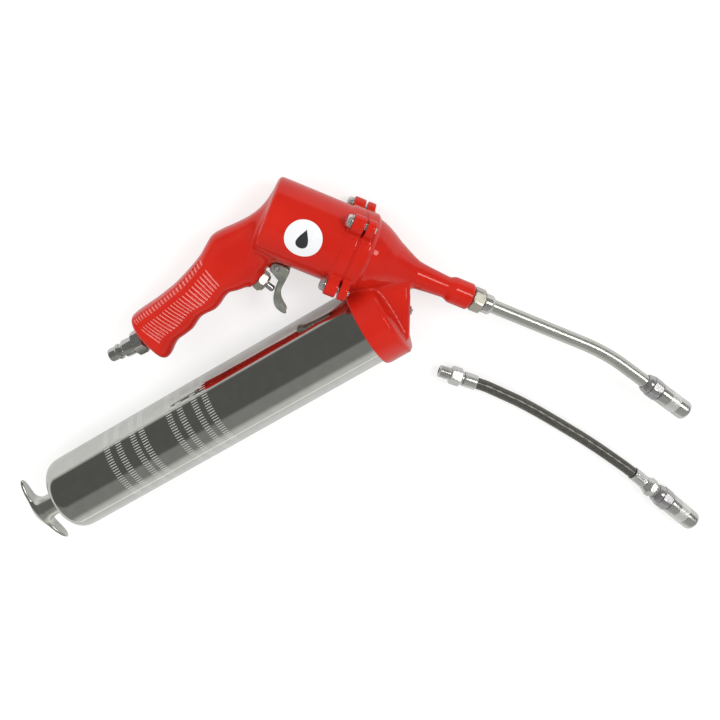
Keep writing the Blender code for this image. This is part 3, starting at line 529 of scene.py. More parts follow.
LANES = smooth_points([(*back, *front, half) for back, front, half in GRIP], 96)


def grip_place(p):
    """For each point: the lane of the grip it lies in, as a fraction, and its section's numbers."""
    x, y = p[:, 0], p[:, 1]
    lane = np.full(len(p), -1.0)
    backs, fronts = LANES[:, :2], LANES[:, 2:4]
    reach = fronts - backs
    normal = np.stack([reach[:, 1], -reach[:, 0]], 1)
    normal /= np.linalg.norm(normal, axis=1)[:, None]
    offset = (backs * normal).sum(1)
    before = x * normal[0, 0] + y * normal[0, 1] - offset[0]
    start = before.copy()
    for k in range(1, len(LANES)):
        now = x * normal[k, 0] + y * normal[k, 1] - offset[k]
        hit = (lane < 0) & (before * now <= 0)
        lane[hit] = (k - 1 + before / np.where(before == now, 1, before - now))[hit]
        before = now
    outside = lane < 0
    lane = np.where(outside & (np.abs(start) < np.abs(before)), 0.0, lane)
    lane = np.where(lane < 0, len(LANES) - 1.0, lane)
    low = np.minimum(lane.astype(int), len(LANES) - 2)
    part = (lane - low)[:, None]
    section = LANES[low] * (1 - part) + LANES[low + 1] * part
    return lane, section


def grip_section(p):
    """Each point's place in its section: along it from the middle, and the section's reach, half width and lane."""
    lane, section = grip_place(p)
    back, front = section[:, :2], section[:, 2:4]
    reach = np.linalg.norm(front - back, axis=1) / 2
    a = ((p[:, :2] - (back + front) / 2) * (front - back)).sum(1) / (2 * reach)
    return a, reach, section[:, 4], lane


def grip_field(p):
    a, reach, half, lane = grip_section(p)
    z = p[:, 2]
    power = 2.7
    q = (np.abs(a / reach) ** power + np.abs(z / half) ** power) ** (1 / power)
    field = np.hypot(a, z) * (1 - 1 / np.maximum(q, 1e-3))
    field = field + rib_depth(a, z, reach, half, lane)[0]
    field = both(field, poly_side(p, LANES[-1, :2], LANES[-1, 2:4]), 5.0)
    return both(field, -poly_side(p, LANES[0, :2], LANES[0, 2:4]), 1.0)


def poly_side(p, a, b):
    """Signed distance from the line a to b, positive on its right."""
    run = (b - a) / np.linalg.norm(b - a)
    return (p[:, 0] - a[0]) * run[1] - (p[:, 1] - a[1]) * run[0]


RIB_FIRST, RIB_LAST, RIB_COUNT = 35.5, 86.5, 24


def rib_depth(a, z, reach, half, lane):
    """Grooves across the grip's sides, and a second short row along its rounded back."""
    phase = (lane - RIB_FIRST) / (RIB_LAST - RIB_FIRST) * (RIB_COUNT - 1)
    wave = 0.5 + 0.5 * np.cos(2 * math.pi * phase)
    inside = smooth_step((phase + 0.5) / 0.3) * smooth_step((RIB_COUNT - 0.5 - phase) / 0.3)
    side = smooth_step((a + reach * 0.52) / 0.7) * smooth_step((reach * 0.42 - a) / 0.7)
    side *= smooth_step((np.abs(z) / half - 0.5) / 0.1)
    edge = smooth_step((-reach * 0.70 - a) / 0.6) * smooth_step((a + reach * 0.93) / 0.6)
    edge *= smooth_step((np.abs(z) / half - 0.30) / 0.1)
    return 0.80 * inside * (1 - wave) * (side + 0.8 * edge), inside * np.maximum(2 * wave - 1, 0) * (side + edge)


def rib_crest(p):
    """How close each point lies to a rib's crest, from 0 to 1, where the red paint carries a painted highlight."""
    a, reach, half, lane = grip_section(p)
    return rib_depth(a, p[:, 2], reach, half, lane)[1]


def smooth_step(t):
    t = np.clip(t, 0.0, 1.0)
    return t * t * (3 - 2 * t)


REAR_PROFILE = solid_profile([
    (0, CYL_REAR), (14, CYL_REAR), (21, CYL_REAR + 0.25), (25.2, CYL_REAR + 0.7), (27.2, CYL_REAR + 1.7),
    (27.9, CYL_REAR + 3.2), (CYL_R, CYL_REAR + 8), (CYL_R, -FLANGE_T - 1.6), (28.4, -FLANGE_T - 0.4),
    (FLANGE_R, -FLANGE_T + 0.6), (FLANGE_R, -SEAM)])


def rear_field(p):
    body = turned_field(p, (0, 0, 0), 0.0, REAR_PROFILE)
    body = join(body, lug_field(p, -FLANGE_T, -SEAM - 0.15), 1.4)
    body = join(body, grip_field(p), 6.5)
    height, radius, _ = along_axis(p, VALVE_SEAT, VALVE_DEG)
    boss = both(radius - 8.6, np.maximum(height, -22.0 - height), 1.6)
    body = join(body, boss, 4.0)
    ear = slab(p, [(-53.0, -20.0), (-38.6, -22.6), (-38.9, -31.0), (-40.4, -34.6), (-43.2, -36.0), (-46.6, -35.2),
                   (-53.0, -33.4)], 2.7)
    body = join(body, ear, 1.5)
    bore = np.minimum(both(radius - 6.05, -14.4 - height, 0.4), both(radius - 4.6, -26.2 - height, 0.4))
    body = cut(body, both(bore, height - 4.0, 0.2), 0.6)
    body = cut(body, cylinder(p, INLET, INLET_DEG, 5.9, -11.6, 8.0), 0.6)
    body = cut(body, np.maximum(pin_away(p) - PIN_HOLE_R, np.abs(p[:, 2]) - 8), 0.2)
    body = cut(body, bolt_away(p) - BOLT_HOLE_R, 0.3)
    return cut(body, cylinder(p, (0, 0, 0), 0.0, CYL_BORE, BORE_REAR, 5.0), 0.4)


# ---------------------------------------------------------------- front casting

FRONT_PROFILE = solid_profile([
    (FLANGE_R, SEAM), (FLANGE_R, FLANGE_T - 0.4), (28.6, FLANGE_T + 0.6), (28.1, FLANGE_T + 1.2), (26.8, 11.6),
    (25.7, 15.5), (24.2, 19.4), (21.6, 24.6), (18.3, 30.2), (14.3, 38.4), (11.6, 44.4), (10.1, 48.6), (9.4, 53.0),
    (8.6, 62.0), (7.9, 71.5), (7.9, 73.4), (9.5, 77.0), (9.7, 78.2), (9.7, 90.9), (8.4, NOSE_END)])
CAP_PROFILE = solid_profile([
    (CAP_R - 0.9, CAP_RIM), (CAP_R, CAP_RIM + 0.9), (CAP_R, CAP_TOP - 0.4), (CAP_R - 1.8, CAP_TOP + 1.6),
    (24, CAP_TOP + 3.6), (13, CAP_TOP + 5), (0, CAP_TOP + 5.4)])
SOCKET_PROFILE = solid_profile([
    (BARREL_R + 0.3, CAP_RIM - 3), (BARREL_R + 0.3, BARREL_L + 2.6), (24.2, BARREL_L + 2.6),
    (19.0, BARREL_L + 4.8), (0, BARREL_L + 6.2)])
PUMP_BORE = solid_profile([
    (20.5, -4), (20.5, 8.0), (14.0, 16.0), (7.2, 16.0), (7.2, 22.0), (4.3, 22.0), (4.3, 60.0), (2.2, 60.0),
    (2.2, 63.6), (4.3, 64.6), (4.3, 79.6), (5.3, 79.6), (5.3, NOSE_END + 4)])
WEB = [(61.6, -40.0), (51.0, -14.0), (46.0, -4.0), (22.0, -12.0), (20.0, -30.0), (32.0, -46.0), (54.0, -49.0)]


def front_field(p):
    head = turned_field(p, (0, 0, 0), 0.0, FRONT_PROFILE)
    head = join(head, lug_field(p, SEAM + 0.15, LUG_FRONT), 1.4)
    cap = turned_field(p, BARREL_END, BARREL_DEG, CAP_PROFILE)
    web = both(poly_distance(p[:, 0], p[:, 1], WEB), np.abs(p[:, 2]) - 10.0 + 0.26 * p[:, 1], 5.0)
    head = join(head, join(cap, web, 1.8), 3.0)
    head = cut(head, turned_field(p, BARREL_END, BARREL_DEG, SOCKET_PROFILE), 0.4)
    head = cut(head, cylinder(p, VENT, VENT_DEG, 2.6, -8.6, 4.0), 0.3)
    head = cut(head, np.maximum(bolt_away(p) - BOLT_HOLE_R, p[:, 0] - 20.0), 0.3)
    return cut(head, turned_field(p, (0, 0, 0), 0.0, PUMP_BORE), 0.4)


# ---------------------------------------------------------------- trigger and pull handle

TRIGGER_OUTLINE = [
    (-34.3, -29.9), (-33.7, -33.0), (-34.0, -38.6), (-34.5, -44.0), (-33.9, -48.8), (-32.2, -52.8), (-29.4, -55.7),
    (-25.9, -58.3), (-24.5, -60.3), (-25.1, -62.0), (-27.6, -62.3), (-32.2, -60.8), (-35.4, -57.9), (-37.6, -53.2),
    (-38.4, -48.9), (-38.5, -44.6), (-38.5, -40.8), (-41.0, -39.2), (-44.0, -37.3), (-47.2, -35.4), (-47.5, -31.8),
    (-46.2, -29.6), (-43.2, -28.8), (-38.0, -28.9)]


def closed_curve(outline, count):
    looped = smooth_points([outline[-1]] + list(outline) + list(outline[:2]), count + 2 * count // len(outline))
    knots = len(outline) + 2
    place = np.linspace(0, knots, len(looped))
    return looped[(place >= 1) & (place < knots - 1 + 1e-9)]


TRIGGER_CURVE = closed_curve(TRIGGER_OUTLINE, 90)


def trigger_field(p):
    flat = poly_distance(p[:, 0], p[:, 1], TRIGGER_CURVE)
    narrow = smooth_step((-p[:, 1] - 50.0) / 12.0)
    half = 6.0 - 1.3 * narrow
    body = both(flat, np.abs(p[:, 2]) - half, 1.8)
    hollow = 0.7 * smooth_step((4.6 - np.abs(p[:, 2])) / 2.4) * smooth_step((-p[:, 1] - 37.5) / 3.0)
    front = smooth_step((p[:, 0] + 37.2 - 0.55 * np.maximum(-p[:, 1] - 52.0, 0)) / 1.6)
    body = body + hollow * front
    slot = np.maximum(np.abs(p[:, 2]) - 3.0, np.maximum(p[:, 0] + 36.6, -(p[:, 1] + 44.2)))
    body = cut(body, slot, 0.5)
    return cut(body, pin_away(p) - PIN_HOLE_R, 0.3)


HUB_PROFILE = solid_profile([(6.5, -23.9), (8.7, -22.1), (9.0, -18.2), (8.7, -13.0), (8.4, -8.0), (8.2, -2.9),
                             (7.6, -1.9), (0, -1.9)])


def handle_field(p):
    height, radius, across = along_axis(p, BARREL_END, BARREL_DEG)
    hub = poly_distance(height, radius, [(z, r) for r, z in HUB_PROFILE])
    share = np.abs(across) / HANDLE_HALF
    half_width = 3.7 + 1.9 * np.sqrt(np.clip(1 - np.minimum(share, 1.0) ** 2.4, 0, 1))
    wide = p[:, 2] / half_width
    middle = -24.0 + 4.0 * np.minimum(share, 1.2) ** 2 + 0.5 * np.minimum(np.abs(wide), 1.2) ** 2
    outline = np.maximum((np.abs(wide) ** 2.6 + share ** 5.0) ** (1 / 2.8) - 1, -1) * 4.5
    plate = both(np.abs(height - middle) - 1.4, outline, 1.2)
    rim = np.hypot(outline + 0.9, height - middle + 0.4) - 1.0
    plate = join(plate, rim, 0.8)
    body = join(hub, plate, 6.5)
    body = both(body, -26.0 - height, 0.8)
    return cut(body, np.maximum(radius - 3.5, np.maximum(-19.8 - height, height - 3.0)), 0.4)


# ---------------------------------------------------------------- materials

class Paint:
    """A Principled material as it is put together."""

    def __init__(self, name, colour, roughness, metallic=0.0):
        self.material = bpy.data.materials.new(name)
        self.material.use_nodes = True
        self.nodes, self.links = self.material.node_tree.nodes, self.material.node_tree.links
        self.inputs = self.nodes["Principled BSDF"].inputs
        self.set("Base Color", (*colour, 1.0))
        self.set("Roughness", roughness)
        self.set("Metallic", metallic)
        self.coords = self.nodes.new("ShaderNodeTexCoord")

    def set(self, socket, value):
        self.inputs[socket].default_value = value

    def feed(self, socket, output):
        self.links.new(output, self.inputs[socket])

    def noise(self, scale, detail=4.0, stretch=None):
        """Noise in object space, or in a turned part's UV map where it is stretched."""
        vector = self.coords.outputs["UV" if stretch else "Object"]
        if stretch:
            mapping = self.nodes.new("ShaderNodeMapping")
            mapping.inputs["Scale"].default_value = stretch
            self.links.new(vector, mapping.inputs["Vector"])
            vector = mapping.outputs["Vector"]
        made = self.nodes.new("ShaderNodeTexNoise")
        made.inputs["Scale"].default_value = scale
        made.inputs["Detail"].default_value = detail
        self.links.new(vector, made.inputs["Vector"])
        return made.outputs["Fac"]

    def crest(self):
        made = self.nodes.new("ShaderNodeAttribute")
        made.attribute_name = "crest"
        return made.outputs["Fac"]

    def ramp(self, fac, low, high, start_at=0.35, end_at=0.65):
        made = self.nodes.new("ShaderNodeValToRGB")
        for element, place, colour in zip(made.color_ramp.elements, (start_at, end_at), (low, high)):
            element.position = place
            element.color = (*colour, 1.0)
        self.links.new(fac, made.inputs["Fac"])
        return made.outputs["Color"]

    def spread(self, fac, low, high):
        made = self.nodes.new("ShaderNodeMapRange")
        made.inputs["To Min"].default_value = low
        made.inputs["To Max"].default_value = high
        self.links.new(fac, made.inputs["Value"])
        return made.outputs["Result"]

    def bump(self, height, strength, distance):
        made = self.nodes.new("ShaderNodeBump")
        made.inputs["Strength"].default_value = strength
        made.inputs["Distance"].default_value = distance
        self.links.new(height, made.inputs["Height"])
        self.feed("Normal", made.outputs["Normal"])


def red_enamel():
    paint = Paint("red_enamel", (0.45, 0.014, 0.006), 0.34)
    # The grip's rib crests are mixed towards a pale pink: a painted highlight along each crest.
    painted_rib_highlight = paint.nodes.new("ShaderNodeMix")
    painted_rib_highlight.data_type = "RGBA"
    paint.links.new(paint.ramp(paint.crest(), (0.0, 0.0, 0.0), (0.60, 0.60, 0.60), 0.35, 0.95), painted_rib_highlight.inputs[0])
    paint.links.new(paint.ramp(paint.noise(22.0, 3.0), (0.42, 0.010, 0.004), (0.47, 0.014, 0.006)), painted_rib_highlight.inputs[6])
    painted_rib_highlight.inputs[7].default_value = (0.80, 0.36, 0.33, 1.0)
    paint.feed("Base Color", painted_rib_highlight.outputs[2])
    paint.feed("Roughness", paint.spread(paint.noise(60.0), 0.26, 0.42))
    paint.bump(paint.noise(260.0, 2.0), 0.10, 0.0002)
    paint.set("Coat Weight", 0.65)
    paint.set("Coat Roughness", 0.06)
    paint.set("Specular IOR Level", 0.06)
    return paint.material


def bright_metal(name, colour, rough_low, rough_high, metallic=1.0, lines=0.0, along=(4.0, 420.0, 1.0),
                 grain=900.0, scratch=0.0, crests=False):
    """Bright metal whose polish varies, with fine lines along or around its axis, or else a fine grain."""
    paint = Paint(name, colour, rough_low, metallic)
    paint.feed("Base Color", paint.ramp(paint.noise(120.0, 2.0), tuple(c * 0.94 for c in colour), colour))
    if crests:
        paint.feed("Metallic", paint.spread(paint.crest(), metallic, 0.25))
        paint.feed("Roughness", paint.spread(paint.crest(), rough_low, 0.32))
    else:
        paint.feed("Roughness", paint.spread(paint.noise(45.0, 5.0), rough_low, rough_high))
    if lines:
        paint.bump(paint.noise(1.0, 3.0, along), lines, 0.00003)
    else:
        paint.bump(paint.noise(grain, 2.0), 0.05 + scratch, 0.00003)
    return paint.material


def cast_metal():
    paint = Paint("trigger_casting", (0.34, 0.36, 0.31), 0.36, 0.70)
    paint.feed("Base Color", paint.ramp(paint.noise(160.0), (0.28, 0.30, 0.26), (0.42, 0.44, 0.38)))
    paint.feed("Roughness", paint.spread(paint.noise(300.0), 0.26, 0.5))
    paint.bump(paint.noise(1400.0, 3.0), 0.22, 0.00006)
    return paint.material


def rubber(name, colour, roughness):
    paint = Paint(name, colour, roughness)
    tone = paint.noise(700.0, 3.0)
    paint.feed("Base Color", paint.ramp(tone, tuple(c * 0.75 for c in colour), tuple(c * 1.25 for c in colour)))
    paint.bump(tone, 0.18, 0.00005)
    return paint.material


def film():
    paint = Paint("label_film", (0.64, 0.65, 0.66), 0.34)
    paint.feed("Base Color", paint.ramp(paint.noise(90.0, 3.0), (0.62, 0.63, 0.64), (0.66, 0.67, 0.68)))
    paint.bump(paint.noise(1600.0, 2.0), 0.06, 0.00003)
    return paint.material


def ink():
    paint = Paint("label_ink", (0.02, 0.02, 0.02), 0.38)
    paint.feed("Base Color", paint.ramp(paint.noise(900.0, 3.0), (0.014, 0.014, 0.014), (0.03, 0.03, 0.03)))
    return paint.material


RED = red_enamel()
FINE_TURNED = (4.0, 520.0, 1.0)
BARREL_CHROME = bright_metal("barrel_chrome", (0.62, 0.62, 0.59), 0.07, 0.10, 1.0, 0.10, (260.0, 1.2, 1.0), crests=True)
CHROME = bright_metal("chrome", (0.66, 0.66, 0.63), 0.16, 0.26, 0.9, 0.20, (3.0, 420.0, 1.0))
HANDLE_METAL = bright_metal("cast_chrome", (0.70, 0.71, 0.66), 0.18, 0.30, grain=700.0, scratch=0.12)
ZINC = bright_metal("zinc_steel", (0.66, 0.66, 0.64), 0.16, 0.28, 0.83, 0.35, FINE_TURNED)
NICKEL = bright_metal("nickelled_brass", (0.52, 0.49, 0.42), 0.22, 0.36, 0.85, 0.25)
DARK_STEEL = bright_metal("dark_plated_steel", (0.52, 0.51, 0.52), 0.20, 0.34, 0.9, 0.3)
RING_STEEL = bright_metal("matt_ring", (0.72, 0.72, 0.70), 0.34, 0.48, 0.7, 0.6, (420.0, 6.0, 1.0))
PLUG_STEEL = bright_metal("plug_steel", (0.60, 0.60, 0.57), 0.10, 0.20, 0.95, 0.3, FINE_TURNED)
SATIN_TUBE = bright_metal("satin_tube", (0.60, 0.60, 0.56), 0.24, 0.32, 0.86, 0.25, (300.0, 2.0, 1.0))
INNER_STEEL = bright_metal("inner_steel", (0.50, 0.50, 0.48), 0.25, 0.42, grain=1200.0)
CASTING = cast_metal()
RUBBER = rubber("black_rubber", (0.028, 0.028, 0.026), 0.55)
HOSE_BRAID = rubber("hose_braid", (0.055, 0.053, 0.045), 0.17)
FILM, INK = film(), ink()

# ---------------------------------------------------------------- castings

GUN = "gun"


def casting(name, field, low, high, step, body, material, node):
    return finish_piece(surface(name, field, low, high, step), body, material, [node])


rear = casting("rear_casting", rear_field, (-127.0, -131.0, -33.0), (0.5, 33.0, 33.0), 0.55, GUN, RED, "rear_body")
# The grip's rib crests, which the red paint lightens as a painted highlight.
mark_crests(rear, rib_crest(design_points(rear)))
casting("front_casting", front_field, (-1.0, -62.0, -33.0), (94.0, 33.5, 33.0), 0.62, GUN, RED, "front_head")
casting("trigger_lever", trigger_field, (-49.0, -64.0, -7.0), (-22.5, -27.0, 7.0), 0.36, "trigger", CASTING, "trigger")
casting("handle_casting", handle_field, (-170.0, -320.0, -14.0), (-95.0, -255.0, 14.0), 0.5, "rod", HANDLE_METAL,
        "pull_handle")

# ---------------------------------------------------------------- hose


def braid(run, angle):
    """Radius of the hose: two crossing sets of strands over a round tube."""
    strands, pitch = 22, 9.5
    a = np.cos(strands * (angle / 2 + math.pi * run / (pitch * strands) * 2))
    b = np.cos(strands * (angle / 2 - math.pi * run / (pitch * strands) * 2))
    return HOSE_R - 0.05 + 0.035 * np.maximum(a, b)


hose_line = smooth_points(HOSE_ROUTE, 330)
hose = finish_piece(sweep("whip_hose", hose_line, braid, 88), GUN, HOSE_BRAID, ["hose"])


def turned_part(name, profile, origin, degrees, surface_material, nodes, body=GUN, segments=96, soft=0.25, sharp=42):
    shaped = rounded(profile, soft) if soft else profile
    return finish_piece(lathe(name, shaped, origin, degrees, segments), body, surface_material, nodes, sharp)


def fine_part(name, profile, origin, degrees, surface_material, node):
    """A turned part with a hexagon or thread, whose profile already has its rounded corners."""
    return turned_part(name, profile, origin, degrees, surface_material, [node], segments=120, soft=0)


def thread(low, high, major, depth, pitch):
    """Thread crests as entries of a profile."""
    entries, count = [], int((high - low) / pitch)
    for k in range(count):
        z = low + k * pitch
        entries += [(major - depth, z), (major, z + pitch * 0.42), (major, z + pitch * 0.58)]
    return entries + [(major - depth, low + count * pitch)]


male = [(2.2, -30.4), (3.9, -30.4)] + thread(-30.1, -21.9, 4.75, 0.55, 0.85) + [(4.2, -21.5), (5.8, -21.2)] + \
    hexagon(6.4, -20.9, -12.9) + [(5.6, -12.4), (5.4, -12.0), (5.4, -11.2), (5.2, -11.0), (3.0, -11.0), (3.0, -5.0),
                                  (2.2, -5.0)]
hose_male = fine_part("hose_thread_fitting", male, HOSE_IN, HOSE_IN_DEG, ZINC, "hose_male_fitting")
ferrule = [(4.6, -10.6), (5.3, -10.6), (5.7, -10.1), (5.75, -9.4), (5.75, -1.2), (5.65, -0.5), (5.3, 0.0), (4.6, 0.0)]
hose_ferrule = turned_part("hose_inlet_crimp", ferrule, HOSE_IN, HOSE_IN_DEG, ZINC, ["hose_inlet_ferrule"])


def crimped(run, angle):
    """Radius of the outlet ferrule, pressed flat by eight jaws between two round ends."""
    pressed = np.minimum(5.45, 5.12 / np.cos(angle % (math.pi / 4) - math.pi / 8)) - 0.22 * smooth_step(run / 12)
    ends = smooth_step((1.6 - run) / 0.9) + smooth_step((run - 11.6) / 0.9)
    round_ends = np.where(run > 6, 5.05, 5.45)
    chamfer = 0.35 * smooth_step((0.35 - run) / 0.35) + 0.45 * smooth_step((run - 12.75) / 0.35)
    return pressed * (1 - ends) + round_ends * ends - chamfer


out_origin = np.array(HOSE_OUT)
out_way = heading(HOSE_OUT_DEG)
outlet_line = [out_origin + out_way * s for s in np.linspace(0.3, 13.4, 60)]
hose_crimp = finish_piece(sweep("hose_outlet_crimp", outlet_line, crimped, 96, bore=4.6), GUN, ZINC,
                          ["hose_outlet_ferrule"], 42)
knuckle = [(2.2, 13.7), (5.1, 13.7), (5.4, 13.9), (6.5, 17.3)] + hexagon(6.7, 17.5, 22.5) + \
    [(6.3, 22.9), (6.0, 25.6), (5.7, 25.9), (4.9, 25.9), (4.95, 35.4), (2.2, 35.4)]
hose_knuckle = fine_part("hose_end_nut", knuckle, HOSE_OUT, HOSE_OUT_DEG, ZINC, "hose_end_fitting")


def coupler(prefix, origin, degrees, nodes_prefix, bore, size=1.0):
    """Hydraulic coupler: hexagon body, screwed sleeve, jaws and seal."""
    def sized(profile):
        return [tuple(number * size for number in entry) for entry in profile]

    body = [(bore / size, 0.0), (6.0, 0.0), (6.35, 0.3), (6.9, 1.2), (7.2, 3.0), (7.3, 3.6), (7.3, 4.4), (6.9, 4.9)] + \
        hexagon(7.5, 5.0, 12.9, 1.075) + [(6.7, 13.3), (4.6, 13.3), (4.6, 20.0), (1.8, 20.0), (1.8, 10.0),
                                          (bore / size, 10.0)]
    made = [fine_part(f"{prefix}_hexagon", sized(body), origin, degrees, DARK_STEEL, f"{nodes_prefix}_body")]
    sleeve = [(4.9, 13.6), (6.9, 13.6), (7.35, 14.0), (7.4, 14.6), (7.4, 22.0), (7.3, 22.3), (7.43, 22.6), (7.43, 30.6),
              (7.3, 30.9), (7.4, 31.2), (7.4, 37.8), (7.3, 39.2), (6.9, 40.3), (6.3, 41.0), (5.9, 41.2), (4.8, 41.2),
              (4.5, 40.9), (4.5, 39.2), (5.5, 38.2), (5.5, 20.6), (4.9, 20.6)]
    shell = turned_part(f"{prefix}_shell", sized(sleeve), origin, degrees, CHROME, [f"{nodes_prefix}_sleeve"], soft=0.2)
    shell.data.materials.append(RING_STEEL)
    for face in shell.data.polygons:
        station, away, _ = along_axis((np.array(face.center)[None] - SHIFT) * 1000, origin, degrees)
        face.material_index = int(22.4 * size < station[0] < 30.8 * size and away[0] > 7.2 * size)
    made.append(shell)
    seal = [(1.4, 20.9), (5.0, 20.9), (5.0, 23.4), (3.2, 23.4), (2.6, 22.4), (1.4, 22.4)]
    made.append(turned_part(f"{prefix}_washer", sized(seal), origin, degrees, RUBBER, [f"{nodes_prefix}_seal"]))
    for number in range(3):
        made.append(jaw(f"{prefix}_grip_{number + 1}", origin, degrees, 120 * number, size,
                        f"{nodes_prefix}_jaw_{number + 1}"))
    return made


def jaw(name, origin, degrees, turn, size, node):
    """One of a coupler's three jaws: a third of a ring with a hooked nose."""
    section = rounded([(3.3, 23.8), (5.1, 23.8), (5.1, 36.6), (4.2, 38.0), (3.0, 38.0), (2.6, 37.0), (3.3, 35.0)], 0.25)
    angle = np.radians(np.linspace(6, 114, 25) + turn)
    ring = np.array([point[:2] for point in section]) * size
    local = np.stack([np.cos(angle)[:, None] * ring[:, 0], np.sin(angle)[:, None] * ring[:, 0],
                      np.broadcast_to(ring[:, 1], (len(angle), len(ring)))], -1)
    return finish_piece(capped(name, placed(local, origin, degrees)), GUN, INNER_STEEL, [node], 40)


def on_bend(turned):
    """The tube's centre after it has turned through an angle of its bend."""
    return np.array([BEND_X + BEND_R * math.sin(turned), -BEND_R * (1 - math.cos(turned)), 0.0])


turn = math.radians(BEND_DEG)
tail, bend_end = heading(-BEND_DEG), on_bend(turn)
coupler_at = bend_end + tail * TUBE_TAIL
coupler("outlet_coupler", coupler_at, -BEND_DEG, "coupler", TUBE_R + 0.3)
hose_coupler_at = out_origin + out_way * HOSE_COUPLER_AT
on_hose = coupler("whip_coupler", hose_coupler_at, HOSE_OUT_DEG, "hose_coupler", TUBE_R + 0.3, HOSE_COUPLER_SIZE)

# ---------------------------------------------------------------- reservoir


KNURL_BANDS = (61, 71, 84, 92, 116.5, 126, 138.5, 147.5)
KNURL_COUNT, KNURL_HEIGHT = 90, 0.05


def knurl(run, angle):
    """Height of the rolled ribs: short ridges along the barrel, in eight bands round it."""
    height = np.zeros(np.broadcast(run, angle).shape)
    for middle in KNURL_BANDS:
        height = height + smooth_step((2.6 - np.abs(run - middle)) / 0.4)
    return height * np.maximum(np.cos(angle * KNURL_COUNT), 0.0) ** 3


def barrel_shell():
    """The reservoir tube with its rolled grip bands, open at the front."""
    base = [(4.4, -1.3), (8, -1.2), (12, -1.0), (16, -0.75), (19.5, -0.3), (22.2, 0.4), (24.2, 1.6), (25.8, 3.0),
            (27.0, 4.6), (27.8, 6.4), (28.2, 8.0), (28.42, 9.8), (BARREL_R, 11.5), (BARREL_R, 57.5)]
    heights = np.concatenate([np.arange(57.8, 151.2, 0.42), [152.0, 175.0, 200.0, 225.0, 250.0, BARREL_L]])
    bare = [(4.4, -0.5), (12, -0.2), (19.3, 0.5), (23.8, 2.4), (26.3, 5.2), (27.4, 8.3), (27.7, 11.7), (27.7, BARREL_L)]
    segments = 1500
    angle = full_turn(segments)
    rows, uv = [], []
    for radius, height in base + [(BARREL_R, h) for h in heights] + bare[::-1]:
        reach = np.full(segments + 1, float(radius))
        if 57 < height < 152 and radius > 28:
            reach = reach + KNURL_HEIGHT * knurl(np.array(height), angle)
        rows.append(np.stack([reach * np.cos(angle), reach * np.sin(angle), np.full(segments + 1, height)], 1))
        uv.append(np.stack([angle / (2 * math.pi), np.full(segments + 1, height / 100)], 1))
    return skin("reservoir_barrel", rows, uv, True, BARREL_END, BARREL_DEG)


barrel = finish_piece(barrel_shell(), GUN, BARREL_CHROME, ["barrel"], 50)
up, side, along = axes(BARREL_DEG)
local = design_points(barrel) - np.array(BARREL_END)
outside = np.hypot(local @ side, local @ up) > 28.2
mark_crests(barrel, knurl(local @ along, np.arctan2(local @ side, local @ up)) * outside)
rod = [(0, -19.5), (3.2, -19.5), (3.2, 264.5), (7.8, 264.5), (7.8, 267.4), (0, 267.4)]
turned_part("pull_rod", rod, BARREL_END, BARREL_DEG, CHROME, ["follower_rod"], body="rod", segments=48)

# ---------------------------------------------------------------- outlet

adaptor = [(2.0, 79.9), (4.4, 79.9), (5.0, 80.7), (5.0, NOSE_END + 0.3), (7.5, NOSE_END + 0.3)] + \
    hexagon(8.0, 93.1, HEX_END - 0.1) + [(7.2, HEX_END), (5.3, HEX_END), (5.3, HEX_END - 6.5), (2.0, HEX_END - 6.5)]
fine_part("outlet_hexagon", adaptor, (0, 0, 0), 0.0, NICKEL, "outlet_adaptor")
nut = [(5.3, 101.8), (6.6, 101.8), (7.0, 102.1), (7.1, 102.6), (7.1, 106.8), (6.95, 107.5), (6.5, 108.2), (5.9, 109.0),
       (5.6, 109.2), (5.3, 109.2)]
turned_part("tube_collar", nut, (0, 0, 0), 0.0, CHROME, ["tube_nut"])
tube_line = [np.array([x, 0.0, 0.0]) for x in np.linspace(HEX_END - 6.2, BEND_X - 3, 12)]
tube_line += [on_bend(turn * step / 30) for step in range(31)]
tube_line += [bend_end + tail * s for s in (2.0, TUBE_TAIL + 9.6)]
finish_piece(sweep("outlet_tube", tube_line, lambda run, angle: TUBE_R, 64, bore=2.4), GUN, SATIN_TUBE,
             ["extension_tube"], 40)

# ---------------------------------------------------------------- valve, inlet and vent

valve = [(2.75, 7.8), (5.7, 7.8), (6.3, 7.3), (6.4, 6.8), (6.2, 6.3)] + hexagon(6.85, 0.9, 6.2)[::-1] + \
    [(6.6, 0.5), (6.5, 0.3), (5.75, 0.3), (5.75, -14.0), (4.6, -14.0), (4.6, -9.0), (2.75, -9.0)]
fine_part("valve_hexagon", valve[::-1], VALVE_SEAT, VALVE_DEG, NICKEL, "valve_body")
stem = [(0, -13.6), (3.6, -13.6), (3.9, -13.2), (3.9, -10.9), (2.45, -10.9), (2.45, 13.4), (2.2, 13.9), (1.6, 14.4),
        (0, 14.6)]
turned_part("valve_plunger", stem, VALVE_SEAT, VALVE_DEG, DARK_STEEL, ["valve_stem"], body="valve_stem", segments=48,
            soft=0.2)
plug = [(2.5, -11.0), (5.2, -11.0), (5.6, -10.4), (5.6, 0.3), (7.6, 0.3)] + hexagon(8.25, 0.5, 8.3) + \
    [(7.2, 8.6), (6.5, 8.75), (6.5, 9.2), (6.5, 16.6), (6.2, 17.2), (5.0, 17.9), (4.6, 18.3), (4.6, 19.7), (5.1, 20.1),
     (5.7, 20.4), (5.8, 20.8), (5.8, 22.2), (5.6, 22.8), (5.1, 23.3), (5.0, 23.8), (5.0, 27.9), (4.8, 28.7),
     (4.4, 29.3), (2.5, 29.3)]
fine_part("inlet_plug", plug, INLET, INLET_DEG, PLUG_STEEL, "air_inlet_plug")
vent = [(1.2, -8.3), (2.3, -8.3), (2.3, 0.3), (3.0, 0.3), (3.3, 0.6), (3.3, 1.0), (3.0, 1.5), (2.4, 1.75), (1.2, 1.8)]
turned_part("vent_seat", vent, VENT, VENT_DEG, NICKEL, ["vent_body"], segments=64, soft=0.15)
vent_stem = [(0, -7.0), (0.9, -7.0), (0.9, 2.3), (0.6, 2.65), (0, 2.7)]
